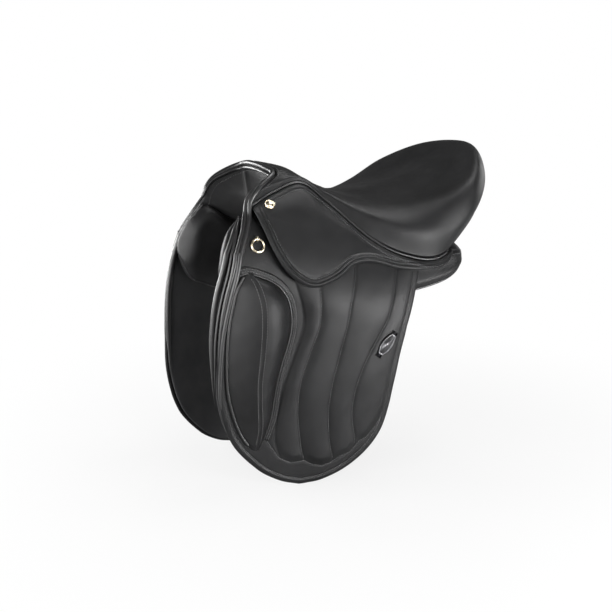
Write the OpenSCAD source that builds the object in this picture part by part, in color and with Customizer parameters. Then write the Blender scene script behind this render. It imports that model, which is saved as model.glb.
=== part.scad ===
// Dressage saddle: Z up, pommel towards -Y, near side +X.
// The origin lies on the bearing line of the panels, under the lowest point of the seat.

/* [Seat] */
// Distance from the seat's lowest point forward to the pommel's top edge
pommel_back = 131; // [118:1:148]
// Height of the pommel above the bearing line
pommel_h = 175; // [164:1:188]
// Distance from the seat's lowest point back to the cantle
cantle_reach = 288; // [265:1:310]
// Height of the cantle above the bearing line
cantle_h = 184; // [170:1:200]
// Height of the seat's lowest point above the bearing line
seat_low_h = 120; // [110:1:130]
// Drop from the seat's lowest point to the lowest point of its side seam
seam_drop = 92; // [84:1:98]
// Width across the seat's side seams at the widest place
seat_w = 294; // [276:2:310]
// Thickness of the seat leather
cover_t = 3; // [2:0.5:4]
// Thickness of the seat foam
foam_t = 14; // [8:1:18]
// Radius of the piping round the pommel
piping_r = 4; // [3:0.25:5]
// Radius of the welt cord in the side seam
welt_r = 1.8; // [1.2:0.1:2.4]

/* [Tree] */
// Thickness of the laminated tree rails
rail_t = 11; // [8:0.5:13]
// Thickness of the spring steel strips under the rails
spring_t = 1.6; // [1:0.2:2.4]
// Thickness of the webbing straps
web_t = 2; // [1.5:0.25:2.5]
// Thickness of the arched head
head_t = 11; // [9:0.5:13]
// Thickness of the steel head plate
plate_t = 3; // [2:0.25:4]
// Radius of the rivet heads
rivet_r = 4; // [3:0.25:5]
// Length of the stirrup bar
bar_len = 62; // [54:1:66]
// Radius of the stirrup bar
bar_r = 4; // [3.5:0.1:4.5]
// Gap for the stirrup leather between bar and backing plate
bar_gap = 11; // [9:0.5:12]
// Length of the catch at the end of the stirrup bar
catch_len = 20; // [16:1:24]
// Radius of the catch pin
catch_pin_r = 1.5; // [1.2:0.1:1.8]

/* [Flaps and skirts] */
// Thickness of the flap leather
flap_t = 5; // [4:0.5:6]
// Crown of the quilted padding on the flap
quilt_t = 3; // [2:0.25:4]
// Drop of the flap's lowest point below the bearing line
flap_drop = 314; // [300:2:330]
// Reach of the flap's front edge ahead of the seat's lowest point
flap_reach = 250; // [244:1:256]
// Thickness of the skirt leather
skirt_t = 5; // [4:0.5:6]
// Air between flap and skirt, where the stirrup leather runs
skirt_gap = 6; // [4:0.5:8]
// Height of the knee block above the flap
knee_h = 34; // [26:1:38]
// Thickness of the sweat flap
sweat_t = 3; // [2:0.5:4]
// Width of a girth billet
billet_w = 25; // [22:1:28]
// Thickness of a girth billet
billet_t = 4.5; // [3.5:0.25:5]
// Length of a girth billet below its seam
billet_len = 165; // [150:1:170]
// Diameter of the billet holes
hole_d = 5.5; // [4.5:0.1:6.5]
// Spacing of the billet holes
hole_step = 25; // [20:1:28]
// Number of holes in a billet
hole_count = 6; // [4:1:6]

/* [Panels] */
// Half width of the gullet between the panels
gullet_half = 34; // [30:1:38]
// Thickness of the panel at the rear
panel_t = 52; // [44:1:58]
// Thickness of the gullet lining
lining_t = 2.5; // [2:0.25:3]

/* [Trim] */
// Radius of the dome of the brass skirt stud
stud_r = 8; // [6:0.5:9]
// Inside radius of the dee ring
dee_r = 8; // [7:0.5:8.5]
// Radius of the dee ring's wire
dee_wire_r = 1.9; // [1.5:0.1:2.2]
// Length of the blank plaque
plaque_len = 48; // [40:1:54]
// Width of the blank plaque at its middle
plaque_w = 20; // [16:1:22]
// Width of the plaque's squared ends
plaque_end_w = 10; // [8:1:12]
// Height of the plaque
plaque_t = 2.5; // [2:0.25:3.5]

/* [Fits] */
// Gap between stacked soft layers
layer_gap = 0.4; // [0.3:0.1:0.6]
// Gap on each face of a girth billet, which slides between its neighbours
strap_gap = 1.8; // [1.5:0.1:2.4]
// Radial clearance of the hinge pins
pin_clear = 0.1; // [0.06:0.02:0.2]

/* [Hidden] */
$fn = 48;

leather = [0.09, 0.09, 0.10];
lining_leather = [0.13, 0.13, 0.14];
steel = [0.70, 0.71, 0.72];
brass = [0.80, 0.62, 0.30];
wood = [0.72, 0.58, 0.40];
foam = [0.86, 0.82, 0.70];
web = [0.82, 0.80, 0.74];

// Curves and grids

function lerp(a, b, t) = a + (b - a) * t;
function unit(t) = min(1, max(0, t));

// Smooth curve through the points p, u from 0 to 1; a mirrored last point closes it square to X = 0
function curve(p, u, after = undef) =
    let (
        n = len(p) - 1,
        f = min(n - 1, max(0, floor(u * n))),
        t = u * n - f,
        b = p[f],
        c = p[f + 1],
        a = f > 0 ? p[f - 1] : 2 * b - c,
        d = f + 2 <= n ? p[f + 2] : is_undef(after) ? 2 * c - b : after
    )
    0.5 * (2 * b + (c - a) * t + (2 * a - 5 * b + 4 * c - d) * t ^ 2 + (3 * b - a - 3 * c + d) * t ^ 3);

function steps(n) = [for (i = [0 : n]) i / n];
function flip_x(p) = [-p[0], p[1], p[2]];

// Triangles of a grid of rows and columns that starts at index base
function grid_faces(rows, cols, base, turn) = [
    for (i = [0 : rows - 2], j = [0 : cols - 2])
        let (k = base + i * cols + j)
        each turn
            ? [[k, k + cols + 1, k + 1], [k, k + cols, k + cols + 1]]
            : [[k, k + 1, k + cols + 1], [k, k + cols + 1, k + cols]]
];

// Indices round the border of such a grid
function rim(rows, cols) = concat(
    [for (j = [0 : cols - 2]) j],
    [for (i = [0 : rows - 2]) i * cols + cols - 1],
    [for (j = [cols - 1 : -1 : 1]) (rows - 1) * cols + j],
    [for (i = [rows - 1 : -1 : 1]) i * cols]
);

// Closed solid between an outer and an inner grid of points
module sheet(outer, inner, turn = false) {
    rows = len(outer);
    cols = len(outer[0]);
    n = rows * cols;
    loop = rim(rows, cols);
    wall = [
        for (k = [0 : len(loop) - 1])
            let (a = loop[k], b = loop[(k + 1) % len(loop)])
            each turn
                ? [[a, b, n + b], [a, n + b, n + a]]
                : [[a, n + b, b], [a, n + a, n + b]]
    ];
    polyhedron(
        points = concat([for (r = outer) each r], [for (r = inner) each r]),
        faces = concat(grid_faces(rows, cols, 0, turn), grid_faces(rows, cols, n, !turn), wall)
    );
}

// Closed solid through a list of rings with equal counts of points
module loft(rings, turn = false) {
    n = len(rings[0]);
    m = len(rings);
    side = [
        for (i = [0 : m - 2], j = [0 : n - 1])
            let (a = i * n + j, b = i * n + (j + 1) % n)
            each turn
                ? [[a, b + n, b], [a, a + n, b + n]]
                : [[a, b, b + n], [a, b + n, a + n]]
    ];
    last = (m - 1) * n;
    caps = [
        for (j = [1 : n - 2])
            each turn
                ? [[0, j, j + 1], [last, last + j + 1, last + j]]
                : [[0, j + 1, j], [last, last + j, last + j + 1]]
    ];
    polyhedron(points = [for (r = rings) each r], faces = concat(side, caps));
}

function norm_of(v) = v / norm(v);

// Round tube along a list of points, its rings set square to the path
module tube(path, r, sides = 8) {
    m = len(path) - 1;
    rings = [
        for (i = [0 : m])
            let (
                along = norm_of(path[min(m, i + 1)] - path[max(0, i - 1)]),
                across = norm_of(cross(along, [0.31, 0.17, 0.94])),
                up = cross(across, along)
            )
            [for (j = [0 : sides - 1]) let (w = 360 * j / sides) path[i] + r * (cos(w) * across + sin(w) * up)]
    ];
    loft(rings);
}

// Seat surface: five rails from the pommel round to the middle of the cantle.
// Each point is a share of half the seat width, of the reach, and of the rise or seam drop.

function seat_at(p) = [
    p[0] * seat_w / 2,
    p[1] * (p[1] < 0 ? pommel_back : cantle_reach),
    seat_low_h + p[2] * (p[2] < 0 ? seam_drop : (p[1] < 0 ? pommel_h : cantle_h) - seat_low_h)
];

seam_rail = [
    [0.52, -1.43, 0.07], [0.45, -1.07, 0.40], [0.42, -0.69, 0.57], [0.52, -0.40, 0.02], [0.81, 0.00, -0.59],
    [0.95, 0.18, -0.90], [1.00, 0.38, -0.99], [0.90, 0.58, -0.65], [0.55, 0.80, -0.33], [0, 0.86, -0.24]
];
side_rail = [
    [0.50, -1.28, 0.47], [0.44, -0.98, 0.64], [0.41, -0.69, 0.68], [0.48, -0.39, 0.23], [0.73, 0.00, -0.22],
    [0.96, 0.19, -0.46], [1.04, 0.41, -0.48], [0.99, 0.63, -0.20], [0.57, 0.85, 0.26], [0, 0.97, 0.42]
];
rim_rail = [
    [0.38, -1.03, 0.87], [0.33, -0.85, 0.85], [0.29, -0.68, 0.72], [0.34, -0.38, 0.30], [0.50, 0.01, -0.04],
    [0.73, 0.20, -0.18], [0.90, 0.41, -0.08], [0.89, 0.63, 0.37], [0.51, 0.80, 0.85], [0, 0.90, 1.00]
];
dish_rail = [
    [0.19, -1.00, 0.99], [0.16, -0.83, 0.92], [0.15, -0.66, 0.78], [0.17, -0.35, 0.34], [0.25, 0.01, 0.00],
    [0.37, 0.19, -0.07], [0.46, 0.37, -0.01], [0.48, 0.54, 0.18], [0.31, 0.69, 0.50], [0, 0.77, 0.68]
];
spine_rail = [
    [0, -1.00, 1.00], [0, -0.83, 0.93], [0, -0.65, 0.79], [0, -0.33, 0.35], [0, 0.02, 0.00],
    [0, 0.18, -0.01], [0, 0.33, 0.05], [0, 0.45, 0.17], [0, 0.52, 0.27], [0, 0.55, 0.32]
];

function rail_points(rail) = [for (p = rail) seat_at(p)];
seam_pts = rail_points(seam_rail);
seat_pts = [for (rail = [seam_rail, side_rail, rim_rail, dish_rail, spine_rail]) rail_points(rail)];

function rail_point(pts, s) = curve(pts, s, flip_x(pts[len(pts) - 2]));

// Point of the seat surface: s runs from pommel to cantle,
// t from the near seam (0) over the spine (1) to the far seam (2)
function seat_point(s, t) =
    t > 1
        ? flip_x(seat_point(s, 2 - t))
        : let (ribs = [for (p = seat_pts) rail_point(p, s)])
          curve(ribs, t, flip_x(ribs[len(ribs) - 2]));

probe = 0.004;
function seat_normal(s, t) =
    let (
        rear = s > 1 - probe,
        across = seat_point(s, rear ? min(1, t + probe) : t + probe) - seat_point(s, max(0, t - probe)),
        along = rear ? [-1, 0, 0] : seat_point(min(1, s + probe), t) - seat_point(max(0, s - probe), t)
    )
    norm_of(cross(along, across));

// Seat surface moved inwards by a depth
function seat_inside(s, t, depth) = seat_point(s, t) - depth * seat_normal(s, t);

foam_depth = cover_t + layer_gap;
// The layers under the cover are stacked straight down, so that each keeps the shape of the one above
function seat_below(s, t, drop) = seat_inside(s, t, foam_depth) - [0, 0, drop];

// Shell of the whole seat between two faces, from the seam share t0 to the spine
module seat_shell(face0, face1, s0, t0, rows, cols) {
    ss = [for (u = steps(rows)) lerp(s0, 1, u)];
    ts = [for (u = steps(cols)) lerp(t0, 1, u)];
    near0 = [for (s = ss, t = ts) face0(s, t)];
    near1 = [for (s = ss, t = ts) face1(s, t)];
    w = cols + 1;
    n = len(near0);
    points = concat(near0, near1, [for (p = near0) flip_x(p)], [for (p = near1) flip_x(p)]);
    at = function (far, deep, i, j)
        (far && j < cols && i < rows ? 2 * n : 0) + (deep ? n : 0) + i * w + j;
    cell = function (far, deep, i, j)
        let (a = at(far, deep, i, j), b = at(far, deep, i, j + 1), c = at(far, deep, i + 1, j + 1),
            d = at(far, deep, i + 1, j))
        far == deep ? [[a, b, c], [a, c, d]] : [[a, c, b], [a, d, c]];
    skins = [
        for (f = [false, true], d = [false, true], i = [0 : rows - 1], j = [0 : cols - 1])
            each cell(f, d, i, j)
    ];
    edge = concat(
        [for (i = [0 : rows - 1]) [[i, 0], [i + 1, 0]]],
        [for (j = [cols : -1 : 1]) [[0, j], [0, j - 1]]]
    );
    walls = [
        for (f = [false, true], e = edge)
            let (a = at(f, false, e[0][0], e[0][1]), b = at(f, false, e[1][0], e[1][1]),
                c = at(f, true, e[1][0], e[1][1]), d = at(f, true, e[0][0], e[0][1]))
            each f ? [[a, c, b], [a, d, c]] : [[a, b, c], [a, c, d]]
    ];
    polyhedron(points = points, faces = concat(skins, walls));
}

// Patch of a layer under the cover between two drops
module seat_patch(s0, s1, t0, t1, drop0, drop1, rows, cols) {
    grid = function (drop) [
        for (u = steps(rows)) [for (v = steps(cols)) seat_below(lerp(s0, s1, u), lerp(t0, t1, v), drop)]
    ];
    sheet(grid(drop0), grid(drop1));
}

cover_rows = 20;
cover_cols = 9;
module seat_cover() {
    color(leather)
        seat_shell(
            function (s, t) seat_point(s, t), function (s, t) seat_inside(s, t, cover_t),
            0, 0, cover_rows, cover_cols
        );
}

// The foam follows the cover's own rows and columns, less those at the front and along the seams
foam_skip_rows = 2;
foam_skip_cols = 4;
module seat_foam() {
    color(foam)
        seat_shell(
            function (s, t) seat_below(s, t, 0), function (s, t) seat_below(s, t, foam_t),
            foam_skip_rows / cover_rows, foam_skip_cols / cover_cols,
            cover_rows - foam_skip_rows, cover_cols - foam_skip_cols
        );
}

// The rails follow the same rows and columns
rail_drop = foam_t + 2 * layer_gap;
under_rail = rail_drop + rail_t;
rail_skip = 3;
rail_cols = 3;
rail_start = rail_skip / cover_rows;
rail_outer = 4 / cover_cols;
rail_inner = rail_outer + rail_cols / cover_cols;
module tree_rails() {
    cut = 2 * head_side_x;
    color(wood) difference() {
        union()
            for (s = [-1, 1])
                side_of(s)
                    seat_patch(
                        rail_start, 1, rail_outer, rail_inner, rail_drop, under_rail,
                        cover_rows - rail_skip, rail_cols
                    );
        translate([-cut / 2, head_back_y + layer_gap / 2 - head_len, 0]) cube([cut, head_len, pommel_h]);
    }
}

module side_of(side) {
    if (side < 0) mirror([1, 0, 0]) children();
    else children();
}

spring_drop = under_rail + 2 * layer_gap;
spring_skip = 5;
spring_rows = 10;
spring_start = spring_skip / cover_rows;
spring_end = spring_start + spring_rows / cover_rows;
spring_a = 5 / cover_cols;
spring_b = 6 / cover_cols;
module spring(side) {
    color(steel) side_of(side)
        seat_patch(
            spring_start, spring_end, spring_a, spring_b, spring_drop, spring_drop + spring_t,
            spring_rows, 1
        );
}

// Straining webs across the open middle of the tree
web_share = 0.075;
web_from = rail_inner + 0.02;
module seat_webbing() {
    color(web)
        for (s = [0.30, 0.42, 0.54, 0.66])
            seat_patch(s, s + web_share, web_from, 2 - web_from, rail_drop, rail_drop + web_t, 2, 6);
}

// Pommel piping and the welts in the side seams

pipe_out = piping_r + 3 * layer_gap;
// Over the pommel's front edge, and down the front of each flap's fixed top
module pommel_piping() {
    turns = 28;
    ahead = function (t)
        norm_of(cross(seat_normal(0, t), seat_point(0, min(2, t + probe)) - seat_point(0, max(0, t - probe))));
    arch = [for (u = steps(turns)) seat_inside(0, 2 * u, cover_t / 2) + pipe_out * ahead(2 * u)];
    near = [
        for (v = [0.92 : -0.2 : 0.12])
            on_side(lerp(flap_top_edge[0], flex_front, v) - [pipe_out, 0], flap_t / 2)
    ];
    far = [for (i = [len(near) - 1 : -1 : 0]) flip_x(near[i])];
    color(leather) tube(concat(near, arch, far), piping_r, 8);
}

// Places along the seam that cover, welt and skirt share
seam_cuts = [for (k = [1 : 14]) k / cover_rows];
welt_drop = [1, 0, -(welt_r + 2 * layer_gap)];
module seat_welt(side) {
    color(leather) side_of(side)
        tube([for (s = concat([0.012], seam_cuts)) rail_point(seam_pts, s) + welt_drop], welt_r, 6);
}

// Side surface shared by flap, skirt, sweat flap and panel.
// It is straight along every line parallel to the skirt's hinge line and flat below the flare.

skirt_out = flap_t + quilt_t + skirt_gap + skirt_t;
hinge_front = seam_pts[0] + [10, -1, -6];
tail_s = 0.64;
hinge_rear = rail_point(seam_pts, tail_s) + [12, 0, -16];
hinge_run = norm([hinge_rear[1] - hinge_front[1], hinge_rear[2] - hinge_front[2]]);
hinge_cos = (hinge_rear[1] - hinge_front[1]) / hinge_run;
hinge_sin = (hinge_front[2] - hinge_rear[2]) / hinge_run;
flare_front = 42;
flare_rear = 22;
flare_depth = 112;
flap_lean = 0.03;

function hinge_share(y) = (y - hinge_front[1]) / (hinge_rear[1] - hinge_front[1]);
function hinge_at(y) = lerp(hinge_front, hinge_rear, hinge_share(y));
function below_hinge(y, z) = (hinge_front[1] - y) * hinge_sin + (hinge_front[2] - z) * hinge_cos;
function flare(q) = q < 0 ? 2 * q : q < 1 ? 1 - (1 - q) ^ 2 : 1;
function side_x(y, z) =
    let (k = hinge_share(y), d = below_hinge(y, z))
    lerp(hinge_front[0], hinge_rear[0], k) - skirt_out
        + lerp(flare_front, flare_rear, k) * flare(d / flare_depth)
        - flap_lean * max(0, d - flare_depth);
function on_side(p, out) = [side_x(p[0], p[1]) + out, p[0], p[1]];

// Outward normal of the side surface
function side_normal(p) =
    norm_of([1, side_x(p[0] - 1, p[1]) - side_x(p[0], p[1]), side_x(p[0], p[1] - 1) - side_x(p[0], p[1])]);

// Flap: its top is fixed, and below the flex line it lifts outwards

flex_front = [-0.884 * flap_reach, 54];
flex_rear = [45, -74];
flex_gap = 0.25;

// Point of the side view from shares of the flap's reach and drop
function on_flap(p) = [p[0] * flap_reach, p[1] * flap_drop];

flap_edge_front = [
    flex_front, [-0.955, -0.03], [-0.99, -0.20], [-1.00, -0.38], [-0.99, -0.57],
    [-0.916, -0.755], [-0.76, -0.90], [-0.62, -0.97], [-0.50, -1.00]
];
flap_edge_rear = [
    flex_rear, [36, -0.357], [27, -0.503], [18, -0.643], [6, -0.764],
    [-18, -0.866], [-50, -0.943], [-88, -0.99], [-117, -1.00]
];
flap_front_pts = [
    for (i = [0 : len(flap_edge_front) - 1])
        i == 0 ? flex_front : on_flap(flap_edge_front[i])
];
flap_rear_pts = [
    for (i = [0 : len(flap_edge_rear) - 1])
        i == 0 ? flex_rear : [flap_edge_rear[i][0], flap_edge_rear[i][1] * flap_drop]
];
function flap_point(a, v) = lerp(curve(flap_front_pts, v), curve(flap_rear_pts, v), a);

// Sewn channels as shares of the flap's width, from the flex line down to the scalloped hem
channel_end = 0.70;
channels = [
    [0.33, 0.43, 0.42, 0.38, 0.35, 0.32, 0.31],
    [0.47, 0.51, 0.49, 0.46, 0.46, 0.49, 0.52],
    [0.65, 0.66, 0.65, 0.64, 0.65, 0.70, 0.79],
    [0.88, 0.84, 0.80, 0.78, 0.80, 0.88, 0.93],
    [1, 1, 1, 1, 1, 1, 1]
];
function channel(k, v) = curve(channels[k], min(1, v / channel_end));
function pad_fade(v) = unit((channel_end + 0.04 - v) / 0.08);

// Columns of one flap row: share across, and how far between two channels
function flap_columns(v) = concat(
    [for (u = [0, 0.3, 0.6]) [u * channel(0, v), 0]],
    [
        for (k = [0 : len(channels) - 2], t = [0, 0.18, 0.5, 0.82])
            [lerp(channel(k, v), channel(k + 1, v), t), min(1, 4.2 * t * (1 - t))]
    ],
    [[1, 0]]
);

module flap(side) {
    rows = [0, 0.05, 0.11, 0.18, 0.26, 0.34, 0.42, 0.50, 0.58, 0.65, 0.70, 0.75, 0.82, 0.90, 0.96, 1];
    shift = function (v) [0, v == 0 ? -flex_gap : 0];
    grid = function (out, crown) [
        for (v = rows)
            [
                for (c = flap_columns(v))
                    on_side(flap_point(c[0], v) + shift(v), out + crown * c[1] * pad_fade(v))
            ]
    ];
    color(leather) side_of(side) sheet(grid(flap_t, quilt_t), grid(0, 0));
}

// Fixed top of the flap, from the pommel corner back under the skirt
flap_top_edge = [
    [hinge_front[1] - 4, hinge_front[2] - 2], [-164, 78], [-112, 54], [-38, 54], [20, 40], [80, 27]
];
module flap_top(side) {
    cols = 20;
    rows = 5;
    grid = function (out) [
        for (v = steps(rows))
            [
                for (a = steps(cols))
                    let (
                        up = curve(flap_top_edge, a),
                        low = lerp(flex_front, flex_rear, a) + [0, flex_gap]
                    )
                    on_side(lerp(up, low, v), out)
            ]
    ];
    color(leather) side_of(side) sheet(grid(flap_t), grid(0));
}

// Knee block and the welt along its rear edge

knee_base = flap_t + layer_gap;
knee_front = [
    [-0.84, 0.09], [-0.89, 0.02], [-0.92, -0.07], [-0.945, -0.19], [-0.955, -0.334],
    [-0.95, -0.478], [-0.917, -0.605], [-0.87, -0.707], [-0.81, -0.783]
];
knee_rear = [
    [-0.80, 0.08], [-0.675, 0.032], [-0.60, -0.045], [-0.575, -0.15], [-0.59, -0.25],
    [-0.635, -0.37], [-0.67, -0.49], [-0.70, -0.64], [-0.765, -0.787]
];
knee_front_pts = [for (p = knee_front) on_flap(p)];
knee_rear_pts = [for (p = knee_rear) on_flap(p)];
function knee_point(a, v) = lerp(curve(knee_front_pts, v), curve(knee_rear_pts, v), a);
knee_rise = [0.16, 0.62, 0.92, 1, 0.96, 0.86, 0.72, 0.52, 0.14];
knee_edge_h = 3;
function knee_top(a, v) = knee_edge_h + (knee_h - knee_edge_h) * curve(knee_rise, v) * sin(180 * a) ^ 0.8;
module knee_block(side) {
    rows = 16;
    cols = 10;
    outer = [
        for (v = steps(rows))
            [for (a = steps(cols)) on_side(knee_point(a, v), knee_base + knee_top(a, v))]
    ];
    inner = [for (v = steps(rows)) [for (a = steps(cols)) on_side(knee_point(a, v), knee_base)]];
    color(leather) side_of(side) sheet(outer, inner);
}

knee_welt_w = 11;
knee_welt_h = 4;
module knee_welt(side) {
    sides = 10;
    rings = [
        for (u = steps(24))
            let (
                p = curve(knee_rear_pts, lerp(0.03, 0.97, u)),
                q = curve(knee_rear_pts, lerp(0.03, 0.97, u) + 0.02) - p,
                away = [-q[1], q[0]] / norm(q)
            )
            [
                for (j = [0 : sides - 1])
                    let (w = 360 * j / sides)
                    on_side(
                        p + away * (layer_gap + knee_welt_w / 2 * (1 + cos(w))),
                        knee_base + knee_welt_h / 2 * (1 + sin(w))
                    )
            ]
    ];
    color(leather) side_of(side) loft(rings, true);
}

// Moves children from the XY plane onto the side surface, with Z along its outward normal
module seat_on_side(p, out, turn = 0) {
    n = side_normal(p);
    across = norm_of(cross([0, 0, 1], n));
    up = cross(n, across);
    o = on_side(p, out);
    multmatrix([
        [across[0], up[0], n[0], o[0]],
        [across[1], up[1], n[1], o[1]],
        [across[2], up[2], n[2], o[2]]
    ]) rotate([0, 0, turn]) children();
}

// Blank plaque on the flap: a pointed oval with squared ends
plaque_at = [9, -99];
plaque_turn = 52;
plaque_seat = flap_t + quilt_t + layer_gap;
module plaque(side) {
    arc_r = (plaque_len * plaque_len + plaque_w * plaque_w) / (4 * plaque_w);
    color(steel) side_of(side) seat_on_side(plaque_at, plaque_seat, plaque_turn)
        linear_extrude(plaque_t)
            union() {
                intersection() {
                    translate([0, arc_r - plaque_w / 2]) circle(r = arc_r);
                    translate([0, plaque_w / 2 - arc_r]) circle(r = arc_r);
                }
                square([plaque_len, plaque_end_w], center = true);
            }
}

// Skirt: sewn under the seat's welt above its hinge line, and lifting below it

skirt_in = skirt_out - skirt_t;
skirt_edge = [
    [hinge_front[1] + 10, hinge_front[2] - 11], [-173, 86], [-165, 58], [-150, 29], [-127, 9], [-104, 3],
    [-70, 13], [-40, 30], [-8, 31], [30, 19], [58, 14.5], [82, 13.5]
];
skirt_rear_y = 82;
module skirt(side) {
    cols = 24;
    rows = 6;
    drop = [0, -0.2];
    grid = function (out) [
        for (v = steps(rows))
            [
                for (a = steps(cols))
                    let (
                        y = lerp(hinge_front[1] + 8, skirt_rear_y, a),
                        up = [y, hinge_at(y)[2]] + drop
                    )
                    on_side(lerp(up, curve(skirt_edge, a), v), out)
            ]
    ];
    color(leather) side_of(side) sheet(grid(skirt_out), grid(skirt_in));
}

skirt_seam_drop = [1.5, 0, -(2 * welt_r + 3.5 * layer_gap)];
skirt_bow = 5;
skirt_top_end = 0.72;
// Upper edge of the skirt under the welt, and its hinge line, which behind the hinge runs up to the edge
function skirt_edge_up(s) = rail_point(seam_pts, s) + skirt_seam_drop;
tail_w = hinge_rear + [0, 0, 0.2] - skirt_edge_up(tail_s);
function skirt_low(s) =
    let (up = skirt_edge_up(s), back = unit((s - tail_s) / (skirt_top_end - tail_s)))
    s < tail_s ? hinge_at(up[1]) + [0, 0, 0.2] : up + tail_w * sqrt(1 - 0.985 * back ^ 2);
function skirt_top_point(s, v, depth) =
    let (
        e = skirt_edge_up(s),
        l = skirt_low(s),
        w = l - e,
        out = norm_of([-w[2], 0, w[0]]),
        bow = skirt_bow * unit(norm(w) / 60)
    )
    lerp(e, l, v) + out * (bow * sin(180 * v)) - norm_of(lerp(out, [1, 0, 0], v)) * depth;
module skirt_top(side) {
    rows = 4;
    cuts = concat([0.006], seam_cuts, [skirt_top_end]);
    grid = function (depth) [for (v = steps(rows)) [for (s = cuts) skirt_top_point(s, v, depth)]];
    color(leather) side_of(side) sheet(grid(0), grid(skirt_t));
}

// Brass stud in the skirt's front corner
stud_s = 0.075;
stud_v = 0.42;
stud_h = 3.5;
stud_rim = 0.8;
stud_gap = 2.2 * layer_gap;
module skirt_stud(side) {
    p = skirt_top_point(stud_s, stud_v, 0);
    down = skirt_top_point(stud_s, stud_v + probe, 0) - p;
    back = skirt_top_point(stud_s + probe, stud_v, 0) - p;
    n = norm_of(cross(down, back));
    color(brass) side_of(side) translate(p + n * stud_gap)
        rotate([0, acos(n[2]), atan2(n[1], n[0])])
            rotate_extrude()
                polygon(concat(
                    [[0, 0], [stud_r, 0]],
                    [for (w = [0 : 15 : 90]) [stud_r * cos(w), stud_rim + (stud_h - stud_rim) * sin(w)]]
                ));
}

// Dee ring and its staple on the fixed top of the flap

dee_at = [-0.746 * flap_reach, 67];
dee_mid_r = dee_r + dee_wire_r;
dee_seat = flap_t + dee_wire_r + layer_gap;
eye_r = dee_wire_r + 0.5;
eye_wire_r = 1.1;
module dee_ring(side) {
    color(brass) side_of(side) seat_on_side(dee_at, dee_seat)
        rotate_extrude() translate([dee_mid_r, 0]) circle(dee_wire_r);
}
module dee_staple(side) {
    leg = dee_wire_r + layer_gap / 2;
    bow_r = eye_r + eye_wire_r;
    color(brass) side_of(side) seat_on_side(dee_at, dee_seat)
        translate([0, dee_mid_r, 0]) rotate([0, 90, 0]) {
            rotate([0, 0, 90]) rotate_extrude(angle = 180) translate([bow_r, 0]) circle(eye_wire_r);
            for (e = [-1, 1])
                translate([0, e * bow_r, 0]) rotate([0, 90, 0]) cylinder(r = eye_wire_r, h = leg);
        }
}

// Head of the tree: an arch whose straight sides carry the stirrup bars

head_side_x = 60;
head_low_z = 80;
head_len = 42;
head_front_y = -pommel_back + 4;
head_back_y = head_front_y + head_len;
head_top_z = pommel_h - 32;
head_bend = [[head_side_x, 108], [50, 130], [30, head_top_z - 5], [0, head_top_z]];
function flip_2d(p) = [-p[0], p[1]];
head_half = concat(
    [[head_side_x, head_low_z]],
    [for (u = steps(8)) curve(head_bend, u, flip_2d(head_bend[len(head_bend) - 2]))]
);
function head_normal(i) =
    let (
        n = len(head_half) - 1,
        b = i < n ? head_half[i + 1] : flip_2d(head_half[n - 1]),
        a = i > 0 ? head_half[i - 1] : head_half[0] - [0, 1],
        d = (b - a) / norm(b - a)
    )
    [d[1], -d[0]];
function head_line(inset) = [for (i = [0 : len(head_half) - 1]) head_half[i] - inset * head_normal(i)];
function head_arch(inset) =
    let (h = head_line(inset), n = len(h) - 1)
    concat(h, [for (i = [n - 1 : -1 : 0]) flip_2d(h[i])]);
function backwards(p) = [for (i = [len(p) - 1 : -1 : 0]) p[i]];

module head_band(inset0, inset1, back_y, length) {
    translate([0, back_y, 0]) rotate([90, 0, 0])
        linear_extrude(length) polygon(concat(head_arch(inset0), backwards(head_arch(inset1))));
}

shank_r = 2.2;
shank_clear = 0.1;
rivet_head_h = 2;
plate_len = 30;
plate_back_y = head_back_y - (head_len - plate_len) / 2;
head_rivet_y = [head_front_y + 13, head_back_y - 13];
head_rivet_i = 3;

// Places a rivet on the head's outer side, pointing inwards through head and plate
module on_head(y) {
    p = head_half[head_rivet_i];
    n = head_normal(head_rivet_i);
    for (s = [-1, 1])
        side_of(s) translate([p[0], y, p[1]]) rotate([0, 90 - atan2(n[1], n[0]), 0]) children();
}

bar_z = 95;
bar_front_y = head_front_y - 8;
bar_plate_t = 3;
bar_plate_h = 24;
bar_plate_x = head_side_x;
bar_x = bar_plate_x + bar_plate_t + bar_gap + bar_r;
bar_rivet_y = [head_front_y + 8, head_front_y + 21, head_front_y + 34];
bar_rivet_z = bar_z + 7;
module on_bar_plate(x) {
    for (y = bar_rivet_y) translate([x, y, bar_rivet_z]) rotate([0, 90, 0]) children();
}

module tree_head() {
    color(wood) difference() {
        head_band(0, head_t, head_back_y, head_len);
        for (y = head_rivet_y)
            on_head(y) translate([0, 0, -head_t - 6]) cylinder(r = shank_r + shank_clear, h = head_t + 12);
        for (s = [-1, 1])
            side_of(s) on_bar_plate(head_side_x - head_t - 2)
                cylinder(r = shank_r + shank_clear, h = head_t + 4);
    }
}

plate_inset = head_t + 0.2;
module head_plate() {
    color(steel) difference() {
        head_band(plate_inset, plate_inset + plate_t, plate_back_y, plate_len);
        for (y = head_rivet_y)
            on_head(y) translate([0, 0, -head_t - plate_t - 6])
                cylinder(r = shank_r + shank_clear, h = head_t + 12);
        for (s = [-1, 1])
            side_of(s) on_bar_plate(head_side_x - head_t - plate_t - 2)
                cylinder(r = shank_r + shank_clear, h = head_t + 4);
    }
}

module head_rivets() {
    color(steel)
        for (y = head_rivet_y)
            on_head(y) {
                translate([0, 0, -head_t - plate_t]) cylinder(r = shank_r, h = head_t + plate_t + 1);
                translate([0, 0, 0.2]) cylinder(r = rivet_r, h = rivet_head_h);
            }
}

module bar_rivets(side) {
    color(steel) side_of(side) {
        on_bar_plate(head_side_x - head_t - plate_t)
            cylinder(r = shank_r, h = head_t + plate_t + bar_plate_t + 1);
        on_bar_plate(bar_plate_x + bar_plate_t + 0.1) cylinder(r = rivet_r, h = rivet_head_h);
    }
}

// Stirrup bar with a forked end, and the catch that pivots in the fork

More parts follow.
